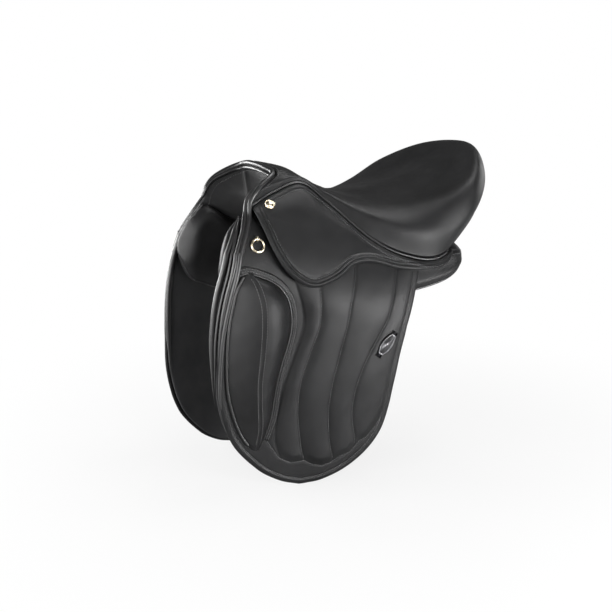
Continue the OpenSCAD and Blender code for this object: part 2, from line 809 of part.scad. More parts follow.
fork_len = 9;
tongue_t = 3;
tongue_clear = 0.25;
bar_end_y = bar_front_y + bar_len;
catch_y = bar_end_y - bar_r;
arm_len = 7;
module stirrup_bar(side) {
    color(steel) side_of(side) {
        difference() {
            translate([bar_plate_x + 0.1, bar_front_y, bar_z - bar_plate_h / 2])
                cube([bar_plate_t, bar_len - fork_len - 2, bar_plate_h]);
            on_bar_plate(bar_plate_x - 1) cylinder(r = shank_r + shank_clear, h = bar_plate_t + 2);
        }
        translate([bar_plate_x + bar_plate_t, bar_front_y, bar_z - bar_r])
            cube([bar_gap + bar_r, arm_len, 2 * bar_r]);
        difference() {
            translate([bar_x, bar_front_y, bar_z]) rotate([-90, 0, 0]) cylinder(r = bar_r, h = bar_len);
            translate([bar_x - tongue_t / 2 - tongue_clear, bar_end_y - fork_len, bar_z - bar_r - 1])
                cube([tongue_t + 2 * tongue_clear, fork_len + 1, 2 * bar_r + 2]);
        }
        translate([bar_x - bar_r + 0.6, catch_y, bar_z]) rotate([0, 90, 0])
            cylinder(r = catch_pin_r, h = 2 * bar_r - 1.2);
    }
}

module bar_catch(side) {
    eye = bar_r - 0.6;
    color(steel) side_of(side) translate([bar_x - tongue_t / 2, catch_y, bar_z]) rotate([90, 0, 90])
        linear_extrude(tongue_t) difference() {
            union() {
                circle(eye);
                translate([0, -eye + 0.6]) square([catch_len, 2 * eye - 1.2]);
                translate([catch_len, 0]) circle(eye - 0.6);
            }
            circle(catch_pin_r + pin_clear);
        }
}

// Leather lining of the arch, from the pommel's front edge to inside the head

lining_gap = 1;
module gullet_lining() {
    cols = 24;
    front_y = head_front_y - lining_t - layer_gap;
    inset = plate_inset + plate_t + lining_gap;
    n = len(head_half) - 1;
    arch = function (t, depth)
        let (h = head_line(depth), u = t > 1 ? 2 - t : t, q = curve(h, u, flip_2d(h[n - 1])))
        [t > 1 ? -q[0] : q[0], q[1]];
    face = function (out) [
        for (j = [0 : 4])
            [
                for (t = steps(cols))
                    let (
                        edge = seat_inside(0, 2 * t, cover_t + 2) + [0, 1 + out, 0],
                        a = arch(2 * t, inset + lining_t - out),
                        mid = [a[0], front_y + out, a[1]]
                    )
                    j < 3 ? lerp(edge, mid, j / 2) : [a[0], j == 3 ? front_y + 20 : head_back_y, a[1]]
            ]
    ];
    color(lining_leather) sheet(face(0), face(lining_t), true);
}

// Panels: flocked cushions on each side of the gullet

billet_out = -strap_gap;
billet_in = billet_out - billet_t;
sweat_out = billet_in - strap_gap;
sweat_in = sweat_out - sweat_t;
panel_out = sweat_in - 2.5 * layer_gap;
panel_y = [-236, -215, -190, -150, -100, -40, 40, 110, 178];
panel_seat = head_low_z - 2.5 * layer_gap;
panel_top = [56, 86, 102, panel_seat + 0.2, panel_seat - 3.6, 62, 58, 57, 55];
panel_gullet = [30, 14, 12, 6, 2, 0, 0, 4, 26];
panel_shoulder = [42, 68, 80, 58, 48, 38, 32, 31, 32];
panel_low = [14, -12, -24, -40, -46, -40, -32, -24, -10];

function closed_curve(p, u) =
    let (
        n = len(p),
        f = floor(u * n) % n,
        t = u * n - floor(u * n),
        a = p[(f + n - 1) % n],
        b = p[f],
        c = p[(f + 1) % n],
        d = p[(f + 2) % n]
    )
    0.5 * (2 * b + (c - a) * t + (2 * a - 5 * b + 4 * c - d) * t ^ 2 + (3 * b - a - 3 * c + d) * t ^ 3);

function mean(p) = p * [for (q = p) 1] / len(p);

function panel_ring(u, sides) =
    let (
        y = curve(panel_y, u),
        top = curve(panel_top, u),
        low = curve(panel_low, u),
        shoulder = curve(panel_shoulder, u),
        gullet_x = gullet_half + curve(panel_gullet, u),
        face = function (z) side_x(y, z) + panel_out,
        inner = [gullet_x, top - panel_t * 0.4],
        heel = [face(low) - 24, low],
        ridge = [gullet_x + min(14, 0.45 * (face(shoulder) - gullet_x)), top],
        p = [
            inner,
            ridge,
            lerp(ridge, [face(shoulder), shoulder], 0.55) + [0, 5],
            [face(shoulder) - 1, shoulder],
            [face((shoulder + low) / 2) - 1, (shoulder + low) / 2],
            [face(low + 10) - 3, low + 10],
            heel,
            lerp(heel, inner, 0.5) + [-7, -9]
        ],
        mid = [for (k = [0, 1]) mean([for (q = p) q[k]])],
        round_end = max(0.4, sqrt(max(0, 1 - abs(2 * u - 1) ^ 14)))
    )
    [
        for (j = [0 : sides - 1])
            let (q = lerp(mid, closed_curve(p, j / sides), round_end))
            [q[0], y, q[1]]
    ];

module panel(side) {
    us = [
        0, 0.012, 0.04, 0.09, 0.15, 0.21, 0.28, 0.36, 0.45,
        0.54, 0.63, 0.72, 0.80, 0.87, 0.93, 0.97, 0.99, 1
    ];
    color(leather) side_of(side) loft([for (u = us) panel_ring(u, 20)], true);
}

// Sweat flap under the flap
sweat_front = [
    [-0.812, 0.248], [-0.912, 0.064], [-0.972, -0.159], [-0.996, -0.382], [-0.984, -0.573],
    [-0.904, -0.752], [-0.752, -0.889], [-0.612, -0.955], [-0.504, -0.975]
];
sweat_rear = [
    [44, 0.019], [36, -0.223], [28, -0.414], [19, -0.573], [7, -0.726],
    [-19, -0.841], [-51, -0.917], [-88, -0.962], [-117, -0.975]
];
sweat_front_pts = [for (p = sweat_front) on_flap(p)];
sweat_rear_pts = [for (p = sweat_rear) [p[0], p[1] * flap_drop]];
module sweat_flap(side) {
    grid = function (out) [
        for (v = steps(14))
            [for (a = steps(10)) on_side(lerp(curve(sweat_front_pts, v), curve(sweat_rear_pts, v), a), out)]
    ];
    color(leather) side_of(side) sheet(grid(sweat_out), grid(sweat_in));
}

// Girth billets hang from webs that come down over the panel

billet_y = [-95, -35];
billet_pivot_depth = flare_depth + billet_w / 2 + 20;
function billet_pivot(y) = [y, hinge_at(y)[2] - billet_pivot_depth / hinge_cos];
module billet(side, y) {
    tip = 14;
    color(leather) side_of(side) seat_on_side(billet_pivot(y), billet_in)
        linear_extrude(billet_t) difference() {
            polygon(concat(
                [for (w = [0 : 15 : 180]) billet_w / 2 * [cos(w), sin(w)]],
                [
                    [-billet_w / 2, tip - billet_len], [-billet_w / 4, -billet_len],
                    [billet_w / 4, -billet_len], [billet_w / 2, tip - billet_len]
                ]
            ));
            for (k = [0 : hole_count - 1])
                translate([0, tip + 14 - billet_len + k * hole_step]) circle(d = hole_d);
        }
}

web_w = billet_w + 7;
// The webs lie against the fixed top of the flap before they reach the billets
web_seat = -web_t / 2 - layer_gap;
front_web_top = [[head_side_x - 6, head_low_z - web_t / 2 - 0.3], [68, 75], [82, 65]];
rear_web_top = [[62, 93], [76, 80], [90, 66]];
module girth_webs(side) {
    color(web) side_of(side)
        for (k = [0, 1])
            let (
                y = billet_y[k],
                foot = billet_pivot(y)[1] + billet_w / 2 + layer_gap,
                head = k == 0 ? front_web_top : rear_web_top,
                zs = [for (u = steps(8)) lerp(46, foot, u)],
                flex_share = (y - flex_front[0]) / (flex_rear[0] - flex_front[0]),
                flex_z = lerp(flex_front[1], flex_rear[1], flex_share),
                billet_mid = (billet_in + billet_out) / 2,
                mid = function (z) lerp(web_seat, billet_mid, unit((flex_z + 25 - z) / 40)),
                path = concat(head, [for (z = zs) [side_x(y, z) + mid(z), z]]),
                m = len(path) - 1,
                across = [
                    for (i = [0 : m])
                        let (d = path[min(m, i + 1)] - path[max(0, i - 1)])
                        [-d[1], d[0]] / norm(d)
                ],
                skin = function (off) [
                    for (i = [0 : m])
                        [
                            for (e = [-1, 1])
                                let (q = path[i] + off * across[i])
                                [q[0] + (i > 2 ? 1 : 0) * (side_x(y + e * web_w / 2, q[1]) - side_x(y, q[1])),
                                    y + e * web_w / 2, q[1]]
                        ]
                ]
            )
            sheet(skin(web_t / 2), skin(-web_t / 2));
}

// Leather facing under the back of the cantle, tucked in below it
facing_t = 2.5;
facing_tuck = 34;
facing_low_z = 60;
module cantle_facing() {
    cols = 20;
    rows = 3;
    grid = function (deep) [
        for (v = steps(rows))
            [
                for (u = steps(cols))
                    let (
                        far = u > 0.5,
                        s = lerp(0.80, 1, far ? 2 - 2 * u : 2 * u),
                        e = seat_inside(s, 0, cover_t / 2) - [0, 0, 3 * layer_gap],
                        low = [e[0] * 0.80, e[1] - facing_tuck, facing_low_z],
                        p = lerp(e, low, v) - deep * [0, facing_t, 0]
                    )
                    far ? flip_x(p) : p
            ]
    ];
    color(leather) sheet(grid(0), grid(1));
}

tree_rails();
tree_head();
head_plate();
head_rivets();
spring(1);  // spring_left
spring(-1);  // spring_right
seat_webbing();
seat_foam();
seat_cover();
pommel_piping();
seat_welt(1);  // seat_welt_left
seat_welt(-1);  // seat_welt_right
cantle_facing();
gullet_lining();
panel(1);  // panel_left
panel(-1);  // panel_right
stirrup_bar(1);  // stirrup_bar_left
stirrup_bar(-1);  // stirrup_bar_right
bar_catch(1);  // bar_catch_left
bar_catch(-1);  // bar_catch_right
bar_rivets(1);  // bar_rivets_left
bar_rivets(-1);  // bar_rivets_right
girth_webs(1);  // girth_webs_left
girth_webs(-1);  // girth_webs_right
sweat_flap(1);  // sweat_flap_left
sweat_flap(-1);  // sweat_flap_right
billet(1, billet_y[0]);  // billet_front_left
billet(1, billet_y[1]);  // billet_rear_left
billet(-1, billet_y[0]);  // billet_front_right
billet(-1, billet_y[1]);  // billet_rear_right
flap_top(1);  // flap_top_left
flap_top(-1);  // flap_top_right
flap(1);  // flap_left
flap(-1);  // flap_right
knee_block(1);  // knee_block_left
knee_block(-1);  // knee_block_right
knee_welt(1);  // knee_welt_left
knee_welt(-1);  // knee_welt_right
plaque(1);  // plaque_left
plaque(-1);  // plaque_right
skirt_top(1);  // skirt_top_left
skirt_top(-1);  // skirt_top_right
skirt(1);  // skirt_left
skirt(-1);  // skirt_right
skirt_stud(1);  // skirt_stud_left
skirt_stud(-1);  // skirt_stud_right
dee_ring(1);  // dee_ring_left
dee_ring(-1);  // dee_ring_right
dee_staple(1);  // dee_staple_left
dee_staple(-1);  // dee_staple_right
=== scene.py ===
import math

import bpy
import numpy as np
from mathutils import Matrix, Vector


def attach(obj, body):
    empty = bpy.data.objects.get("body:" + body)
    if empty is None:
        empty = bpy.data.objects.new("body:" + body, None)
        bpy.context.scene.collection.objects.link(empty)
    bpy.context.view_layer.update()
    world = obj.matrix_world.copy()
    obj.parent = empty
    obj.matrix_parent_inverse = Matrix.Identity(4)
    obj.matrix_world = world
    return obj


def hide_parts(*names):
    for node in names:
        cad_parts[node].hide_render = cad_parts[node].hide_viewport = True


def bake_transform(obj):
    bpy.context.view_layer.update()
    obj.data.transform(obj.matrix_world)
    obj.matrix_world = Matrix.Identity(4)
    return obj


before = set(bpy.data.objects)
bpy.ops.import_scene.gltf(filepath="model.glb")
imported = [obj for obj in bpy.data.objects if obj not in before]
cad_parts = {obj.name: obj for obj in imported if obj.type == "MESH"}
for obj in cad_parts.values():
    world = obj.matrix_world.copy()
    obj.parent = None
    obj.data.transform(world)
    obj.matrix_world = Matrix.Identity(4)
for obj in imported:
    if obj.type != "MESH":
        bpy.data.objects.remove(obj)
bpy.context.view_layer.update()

lin = np.linspace

# Sizes in millimetres, as in the CAD: X to the near side, Y to the back, Z up
SEAT_WIDE, POMMEL_Y, CANTLE_Y = 147, 131, 288
SEAT_Z, POMMEL_Z, CANTLE_Z, SEAM_DROP = 120, 175, 184, 92
COVER_THICK, COVER_ROOM = 3.0, 3.4
# Layers under the cover: how far below it they start and end
FOAM_LAYER, RAIL_LAYER, SPRING_LAYER, STRAP_LAYER = (0, 14), (14.8, 25.8), (26.6, 28.2), (14.8, 16.8)
HEAD_FRONT, HEAD_BACK, LINING_BACK = -129.9, -84.8, -85.0
# Side surface: length of its flare, how far in it starts, flare at the front and rear, and slope below
FLARE_RUN, FLARE_IN, FLARE_FRONT, FLARE_REAR, TUCK = 112, 19, 42, 22, 0.03
# Layers on the side surface: how far out they lie
SKIRT_OUT, SKIRT_THICK, FLAP_OUT, KNEE_OUT = 19.0, 5.0, 5.0, 5.4
BILLET_OUT, SWEAT_OUT, SWEAT_IN, PANEL_OUT = -4.05, -8.1, -11.1, -12.1
REACH, DROP = 250, 314
# Share of the seam at which the skirt's hinge and the skirt itself end
TAIL_S, SKIRT_END = 0.64, 0.72
BILLETS = {"front": -95.0, "rear": -35.0}
NUDGE = 0.004
# A millimetre in metres
MM = 0.001


# Curves and surfaces


def clamp(t):
    return np.clip(t, 0, 1)


def smooth(t):
    t = clamp(t)
    return t * t * (3 - 2 * t)


def bell(x, width):
    return np.exp(-(x / width) ** 2)


def hump(x, width):
    return np.sin(np.pi * clamp(x / width))


def mix(a, b, t):
    return a + (b - a) * t


def crowded(u, share):
    """Even steps from 0 to 1, drawn towards both ends."""
    return mix(u, (1 - np.cos(np.pi * u)) / 2, share)


def lattice(rows, cols):
    return np.broadcast_arrays(rows[:, None], cols[None])


def unit(v):
    return v / np.maximum(1e-9, np.linalg.norm(v, axis=-1, keepdims=True))


def square_to(n):
    """Two unit vectors square to a normal and to each other, the first one level."""
    a = unit(np.cross([0, 0, 1.], n))
    return a, np.cross(n, a)


def beside(line):
    """Unit vectors square to a flat line."""
    d = unit(np.gradient(line, axis=0))
    return np.stack([-d[:, 1], d[:, 0]], 1)


def filled(points, n):
    """Points along a polyline, n to each of its lengths."""
    return np.concatenate([mix(a, b, lin(0, 1, n + 1)[:-1, None]) for a, b in zip(points, points[1:])])


def flip(p):
    return np.asarray(p, float) * [-1, 1, 1]


def bend(a, b, c, d, t):
    return 0.5 * (2 * b + (c - a) * t + (2 * a - 5 * b + 4 * c - d) * t ** 2
                  + (3 * b - a - 3 * c + d) * t ** 3)


def curve(p, u, after=None):
    """Smooth curve through the points p, u from 0 to 1."""
    p, u = np.asarray(p, float), np.asarray(u, float)
    n = len(p) - 1
    q = np.concatenate([[2 * p[0] - p[1]], p, [2 * p[-1] - p[-2] if after is None else after]])
    f = np.clip(np.floor(u * n).astype(int), 0, n - 1)
    t = u * n - f
    return bend(q[f], q[f + 1], q[f + 2], q[f + 3], t[..., None] if p.ndim > 1 else t)


def to_line(p, line):
    """Distance of the points p from a polyline."""
    flat, a, b = p.reshape(-1, p.shape[-1]), line[:-1], line[1:]
    best = np.full(len(flat), 1e9)
    for i in range(len(a)):
        d = b[i] - a[i]
        t = clamp(((flat - a[i]) @ d) / max(1e-9, d @ d))
        best = np.minimum(best, np.linalg.norm(flat - a[i] - t[:, None] * d, axis=1))
    return best.reshape(p.shape[:-1])


def resample(path, step, values=None):
    """Points at even steps along a polyline, the direction there, and values that are given along it."""
    path = np.asarray(path, float)
    run = np.concatenate([[0], np.cumsum(np.linalg.norm(np.diff(path, axis=0), axis=1))])
    n = max(2, int(round(run[-1] / step)))
    at = (np.arange(n) + 0.5) / n * run[-1]
    get = lambda u, q: np.stack([np.interp(u, run, q[:, k]) for k in range(q.shape[1])], 1)
    along = unit(get(np.minimum(run[-1], at + 0.8), path) - get(np.maximum(0, at - 0.8), path))
    return get(at, path), along, None if values is None else get(at, values)


def eased(path, step, reach):
    """Path at even steps with its corners rounded off over a length."""
    p = resample(path, step)[0]
    k = bell(np.arange(-3 * reach, 3 * reach + step, step), reach)
    n = len(k) // 2
    q = np.concatenate([2 * p[0] - p[n:0:-1], p, 2 * p[-1] - p[-2:-n - 2:-1]])
    return np.stack([np.convolve(q[:, i], k / k.sum(), "valid") for i in range(3)], 1)


def ripple(p, size, seed):
    """Slow, even unevenness of stretched leather, from -1 to 1."""
    a = seed * 1.7 + 0.3
    k = 2 * math.pi / size
    x, y, z = p[..., 0], p[..., 1], p[..., 2]
    long = np.sin(k * (0.8 * x + 0.5 * y + 0.33 * z) + a)
    long = long * np.cos(k * (0.31 * x - 0.72 * y + 0.6 * z) + 2.1 * a)
    return (long + 0.6 * np.sin(1.9 * k * (0.2 * x + 0.66 * y - 0.7 * z) + 3.3 * a)) / 1.6


def rail(points):
    """Line along the seat, given as shares of its width, length and height."""
    x, y, z = np.array(points, float).T
    rise = np.where(y < 0, POMMEL_Z, CANTLE_Z) - SEAT_Z
    return np.stack([x * SEAT_WIDE, y * np.where(y < 0, POMMEL_Y, CANTLE_Y),
                     SEAT_Z + z * np.where(z < 0, SEAM_DROP, rise)], 1)


RAILS = [rail(r) for r in (
    [[.52, -1.43, .07], [.45, -1.07, .40], [.42, -.69, .57], [.52, -.40, .02], [.81, 0, -.59],
     [.95, .18, -.90], [1, .38, -.99], [.90, .58, -.65], [.55, .80, -.33], [0, .86, -.24]],
    [[.50, -1.28, .47], [.44, -.98, .64], [.41, -.69, .68], [.48, -.39, .23], [.73, 0, -.22],
     [.96, .19, -.46], [1.04, .41, -.48], [.99, .63, -.20], [.57, .85, .26], [0, .97, .42]],
    [[.38, -1.03, .87], [.33, -.85, .85], [.29, -.68, .72], [.34, -.38, .30], [.50, .01, -.04],
     [.73, .20, -.18], [.90, .41, -.08], [.89, .63, .37], [.51, .80, .85], [0, .90, 1]],
    [[.19, -1, .99], [.16, -.83, .92], [.15, -.66, .78], [.17, -.35, .34], [.25, .01, 0],
     [.37, .19, -.07], [.46, .37, -.01], [.48, .54, .18], [.31, .69, .50], [0, .77, .68]],
    [[0, -1, 1], [0, -.83, .93], [0, -.65, .79], [0, -.33, .35], [0, .02, 0],
     [0, .18, -.01], [0, .33, .05], [0, .45, .17], [0, .52, .27], [0, .55, .32]])]
SEAM = RAILS[0]
# The pommel's front edge is a round arch: set back and lowered at its shoulders, lifted in the middle.
# Each shift has its place across, its width and its move, and all reach back by a share of the seat.
EDGE_SHIFTS, EDGE_S = ((.42, .2, (0, 8., 0)), (.56, .26, (0, 0, -2.6)), (1, .34, (0, 0, 1.))), .08


def seam(s):
    return curve(SEAM, s, flip(SEAM[-2]))


def seat(s, t):
    """Seat surface: s from pommel to cantle, t from the near seam (0) over the spine (1) to the far (2)."""
    s, t = np.broadcast_arrays(np.asarray(s, float), np.asarray(t, float))
    far = t > 1
    t = np.where(far, 2 - t, t)
    ribs = np.stack([curve(r, s, flip(r[-2])) for r in RAILS])
    q = np.concatenate([2 * ribs[:1] - ribs[1:2], ribs, flip(ribs[-2:-1])])
    f = np.clip(np.floor(t * 4).astype(int), 0, 3)
    at = [np.take_along_axis(q, (f + k)[None, ..., None], 0)[0] for k in range(4)]
    p = bend(*at, (t * 4 - f)[..., None])
    shift = sum(bell(t - place, width)[..., None] * move for place, width, move in EDGE_SHIFTS)
    p = p + (1 - smooth(s / EDGE_S))[..., None] * shift
    return np.where(far[..., None], flip(p), p)


def seat_in(s, t, depth):
    """Seat surface moved inwards by a depth."""
    s, t = np.broadcast_arrays(np.asarray(s, float), np.asarray(t, float))
    rear = s > 1 - NUDGE
    across = seat(s, np.where(rear, np.minimum(1, t + NUDGE), t + NUDGE)) - seat(s, np.maximum(0, t - NUDGE))
    along = seat(np.minimum(1, s + NUDGE), t) - seat(np.maximum(0, s - NUDGE), t)
    along = np.where(rear[..., None], [-1., 0, 0], along)
    return seat(s, t) - np.asarray(depth)[..., None] * unit(np.cross(along, across))


def seat_layer(s, t, layer):
    """Upper and lower face of a layer under the cover, lowered straight down from the cover's underside."""
    under = seat_in(s, t, COVER_ROOM)
    return [under - [0, 0, drop] for drop in layer]


HINGE_F, HINGE_R = SEAM[0] + [10, -1, -6], seam(TAIL_S) + [12, 0, -16]
HINGE_RUN = math.hypot(HINGE_R[1] - HINGE_F[1], HINGE_R[2] - HINGE_F[2])
HINGE_COS, HINGE_SIN = (HINGE_R[1] - HINGE_F[1]) / HINGE_RUN, (HINGE_F[2] - HINGE_R[2]) / HINGE_RUN


def hinge_share(y):
    return (y - HINGE_F[1]) / (HINGE_R[1] - HINGE_F[1])


def hinge_at(y):
    return mix(HINGE_F, HINGE_R, hinge_share(y)[..., None])


def side_x(y, z):
    """The side surface on which panel, sweat flap, billets, flap and skirt are layered."""
    k = hinge_share(y)
    d = (HINGE_F[1] - y) * HINGE_SIN + (HINGE_F[2] - z) * HINGE_COS
    q = d / FLARE_RUN
    flare = np.where(q < 0, 2 * q, np.where(q < 1, 1 - (1 - q) ** 2, 1))
    start = mix(HINGE_F[0], HINGE_R[0], k) - FLARE_IN
    return start + mix(FLARE_FRONT, FLARE_REAR, k) * flare - TUCK * np.maximum(0, d - FLARE_RUN)


def on_side(p, out):
    y, z = p[..., 0], p[..., 1]
    return np.stack([side_x(y, z) + out, y, z], -1)


def side_normal(p):
    y, z = p[..., 0], p[..., 1]
    x = side_x(y, z)
    return unit(np.stack([np.ones_like(x), side_x(y - 1, z) - x, side_x(y, z - 1) - x], -1))


# Mesh building


class Part:
    """Points in millimetres and faces with a material number each."""

    def __init__(self):
        self.spots, self.faces, self.mats, self.count = [], [], [], 0

    def points(self, p):
        """Add points and give back their numbers."""
        p = np.asarray(p, float).reshape(-1, 3)
        self.spots.append(p)
        self.count += len(p)
        return self.count - len(p) + np.arange(len(p))

    def quads(self, a, b, c, d, mat=0):
        f = np.stack(np.broadcast_arrays(a, b, c, d), -1).reshape(-1, 4)
        self.faces.append(f)
        self.mats.append(np.full(len(f), mat))

    def grid(self, p, turn=False):
        i = self.points(p).reshape(p.shape[:2])
        a, b, c, d = i[:-1, :-1], i[:-1, 1:], i[1:, 1:], i[1:, :-1]
        self.quads(*((a, d, c, b) if turn else (a, b, c, d)))
        return i

    def loft(self, rings, mat=0, turn=False):
        """Skin over a row of closed rings."""
        i = self.points(rings).reshape(np.shape(rings)[:2])
        j = np.roll(i, -1, 1)
        self.quads(*((i[:-1], i[1:], j[1:], j[:-1]) if turn else (i[:-1], j[:-1], j[1:], i[1:])), mat)
        return i

    def cap(self, ring, tip, turn=False, mat=0):
        """Fan that closes a ring at a tip."""
        end = np.full(len(ring), self.points(tip)[0])
        after = np.roll(ring, -1)
        self.quads(*((after, ring) if turn else (ring, after)), end, end, mat)

    def rim(self, outer, inner, first, last, away, closed=True, steps=5):
        """Half-round edge between two borders, first and last their numbers; away points out of the sheet."""
        half = (outer - inner) / 2
        step = (np.roll(outer, -1, 0) - np.roll(outer, 1, 0)) if closed else np.gradient(outer, axis=0)
        out = unit(np.cross(half, step)) * np.linalg.norm(half, axis=1, keepdims=True)
        if (out * away).sum() < 0:
            out = -out
        rows = [first]
        for k in range(1, steps):
            w = math.pi * k / steps
            rows.append(self.points((outer + inner) / 2 + math.cos(w) * half + math.sin(w) * out))
        rows.append(last)
        for a, b in zip(rows, rows[1:]):
            if closed:
                self.quads(a, b, np.roll(b, -1), np.roll(a, -1))
            else:
                self.quads(a[:-1], b[:-1], b[1:], a[1:])

    def sheet(self, outer, inner):
        """Closed leather sheet with a rounded edge."""
        first, last = self.grid(outer), self.grid(inner, turn=True)
        r, c = outer.shape[:2]
        loop = ([(0, j) for j in range(c - 1)] + [(i, c - 1) for i in range(r - 1)]
                + [(r - 1, j) for j in range(c - 1, 0, -1)] + [(i, 0) for i in range(r - 1, 0, -1)])
        k = tuple(np.array(loop).T)
        near = (np.clip(k[0], 1, r - 2), np.clip(k[1], 1, c - 2))
        self.rim(outer[k], inner[k], first[k], last[k], outer[k] - outer[near])

    def tube(self, path, r, sides=10, mat=0):
        """Round cord with blunt ends; r is one radius, or one for each point."""
        along = unit(np.gradient(path, axis=0))
        across = [unit(np.cross(along[0], [0.31, 0.17, 0.94]))]
        for d in along[1:]:
            across.append(unit(across[-1] - d * (across[-1] @ d)))
        across = np.array(across)
        up = np.cross(across, along)
        w = 2 * math.pi * np.arange(sides) / sides
        r = np.broadcast_to(np.asarray(r, float), (len(path),))
        round_it = np.cos(w)[None, :, None] * across[:, None] + np.sin(w)[None, :, None] * up[:, None]
        i = self.loft(path[:, None] + r[:, None, None] * round_it, mat)
        self.cap(i[0], path[0] - along[0] * r[0] * 0.5, True, mat)
        self.cap(i[-1], path[-1] + along[-1] * r[-1] * 0.5, False, mat)

    def stitches(self, path, normal, mat=1, pitch=4.4, length=3.3, width=1.0, lift=0.25):
        """Row of thread stitches lying along a path; normal is one vector for each path point."""
        p, along, up = resample(path, pitch, normal)
        up = unit(up - along * (up * along).sum(1, keepdims=True))
        side = np.cross(along, up)
        x = np.array([-.5, -.36, 0, .36, .5]) * length
        w = np.array([.2, .8, 1, .8, .2]) * width / 2
        sink = np.array([-.35, 0, .12, 0, -.35]) + lift
        local = np.array([[a, c * b, d * b * 0.8 + e] for a, b, e in zip(x, w, sink)
                          for c, d in ((1, 0), (0, 1), (-1, 0), (0, -1))])
        v = (p[:, None] + local[None, :, :1] * along[:, None] + local[None, :, 1:2] * side[:, None]
             + local[None, :, 2:] * up[:, None])
        i = self.points(v).reshape(len(p), 5, 4)
        j = np.roll(i, -1, 2)
        self.quads(i[:, :-1], i[:, 1:], j[:, 1:], j[:, :-1], mat)
        self.quads(i[:, 0, 0], i[:, 0, 1], i[:, 0, 2], i[:, 0, 3], mat)
        self.quads(i[:, -1, 3], i[:, -1, 2], i[:, -1, 1], i[:, -1, 0], mat)

    def dome(self, centre, n, profile, turns=40):
        """Turned form: profile is (radius, height) pairs from the rim to the middle."""
        a, b = square_to(n)
        w = (2 * math.pi * np.arange(turns) / turns + 1e-4)[:, None]
        self.loft([centre + np.cos(w) * r * a + np.sin(w) * r * b + h * n for r, h in profile])

    def mirrored(self):
        m = Part()
        m.spots = [flip(p) for p in self.spots]
        m.faces, m.mats, m.count = [f[:, ::-1] for f in self.faces], self.mats, self.count
        return m

    def whole(self):
        return [np.concatenate(x) for x in (self.spots, self.faces, self.mats)]

    def weld(self):
        """Both halves of a form that is built on one side of X = 0, joined there."""
        p, f, m = self.whole()
        p[np.abs(p[:, 0]) < 1e-6, 0] = 0
        far = np.where(p[:, 0] == 0, np.arange(len(p)), len(p) + np.arange(len(p)))
        both = np.concatenate([p, flip(p)])
        w = Part()
        w.spots, w.faces = [both], [np.concatenate([f, far[f][:, ::-1]])]
        w.mats, w.count = [np.concatenate([m, m])], len(both)
        return w

    def make(self, name, mats):
        """Blender object in metres, without the points that no face uses."""
        p, quads, numbers = self.whole()
        faces, keep = [], []
        for f, k in zip(quads.tolist(), numbers.tolist()):
            ring = list(dict.fromkeys(f))
            if len(ring) > 2:
                faces.append(ring)
                keep.append(k)
        used = np.unique(np.concatenate([np.array(f) for f in faces]))
        new = np.full(len(p), -1)
        new[used] = np.arange(len(used))
        mesh = bpy.data.meshes.new(name)
        mesh.from_pydata((p[used] * MM).tolist(), [], [[int(new[i]) for i in f] for f in faces])
        mesh.polygons.foreach_set("material_index", keep)
        mesh.polygons.foreach_set("use_smooth", [True] * len(faces))
        for x in mats:
            mesh.materials.append(x)
        mesh.update()
        obj = bpy.data.objects.new(name, mesh)
        bpy.context.scene.collection.objects.link(obj)
        return obj


# Materials


class Nodes:
    """Node tree of a material or of the world."""

    def __init__(self, owner):
        owner.use_nodes = True
        self.owner, self.tree = owner, owner.node_tree

    def feed(self, n, k, x):
        """Link an input to a socket, or set it to a value."""
        if isinstance(x, bpy.types.NodeSocket):
            self.tree.links.new(x, n.inputs[k])
        else:
            n.inputs[k].default_value = x

    def add(self, kind, inputs, **values):
        n = self.tree.nodes.new(kind)
        for k, v in values.items():
            setattr(n, k, v)
        for k, x in inputs.items():
            self.feed(n, k, x)
        return n

    def noise(self, scale, detail=3.0, rough=0.55, where=None):
        inputs = {"Vector": where or self.where, "Scale": scale, "Detail": detail, "Roughness": rough}
        return self.add("ShaderNodeTexNoise", inputs).outputs["Fac"]

    def streaks(self, scale, rough):
        """Noise drawn out along an axis."""
        stretch = self.add("ShaderNodeMapping", {"Vector": self.where, "Scale": scale})
        return self.noise(1, 4, rough, stretch.outputs[0])

    def cells(self, scale, where=None):
        inputs = {"Vector": where or self.where, "Scale": scale}
        return self.add("ShaderNodeTexVoronoi", inputs, feature="DISTANCE_TO_EDGE").outputs["Distance"]

    def wave(self, direction, scale, distortion, **more):
        inputs = {"Vector": self.where, "Scale": scale, "Distortion": distortion, **more}
        return self.add("ShaderNodeTexWave", inputs, bands_direction=direction).outputs["Fac"]

    def math(self, op, a, b):
        return self.add("ShaderNodeMath", {0: a, 1: b}, operation=op).outputs[0]

    def total(self, a, share_a, b, share_b):
        return self.math("ADD", self.math("MULTIPLY", a, share_a), self.math("MULTIPLY", b, share_b))

    def span(self, x, lo, hi, to_lo=0.0, to_hi=1.0, kind="LINEAR"):
        inputs = {"Value": x, "From Min": lo, "From Max": hi, "To Min": to_lo, "To Max": to_hi}
        return self.add("ShaderNodeMapRange", inputs, clamp=True, interpolation_type=kind).outputs["Result"]

    def mixed(self, fac, a, b):
        a, b = (x if isinstance(x, bpy.types.NodeSocket) else (*x, 1) for x in (a, b))
        return self.add("ShaderNodeMix", {0: fac, 6: a, 7: b}, data_type="RGBA").outputs[2]

    def bump(self, height, distance, strength):
        inputs = {"Height": height, "Distance": distance, "Strength": strength}
        return self.add("ShaderNodeBump", inputs).outputs["Normal"]

    def finish(self, colour, rough, normal, **values):
        """Feed the material's shader; values that are the same all over are set on its sockets."""
        values.update(Base_Color=colour, Roughness=rough, Normal=normal)
        for k, x in values.items():
            self.feed(self.tree.nodes["Principled BSDF"], k.replace("_", " "), x)
        return self.owner


def material(name):
    n = Nodes(bpy.data.materials.new(name))
    n.where = n.add("ShaderNodeTexCoord", {}).outputs["Object"]
    return n


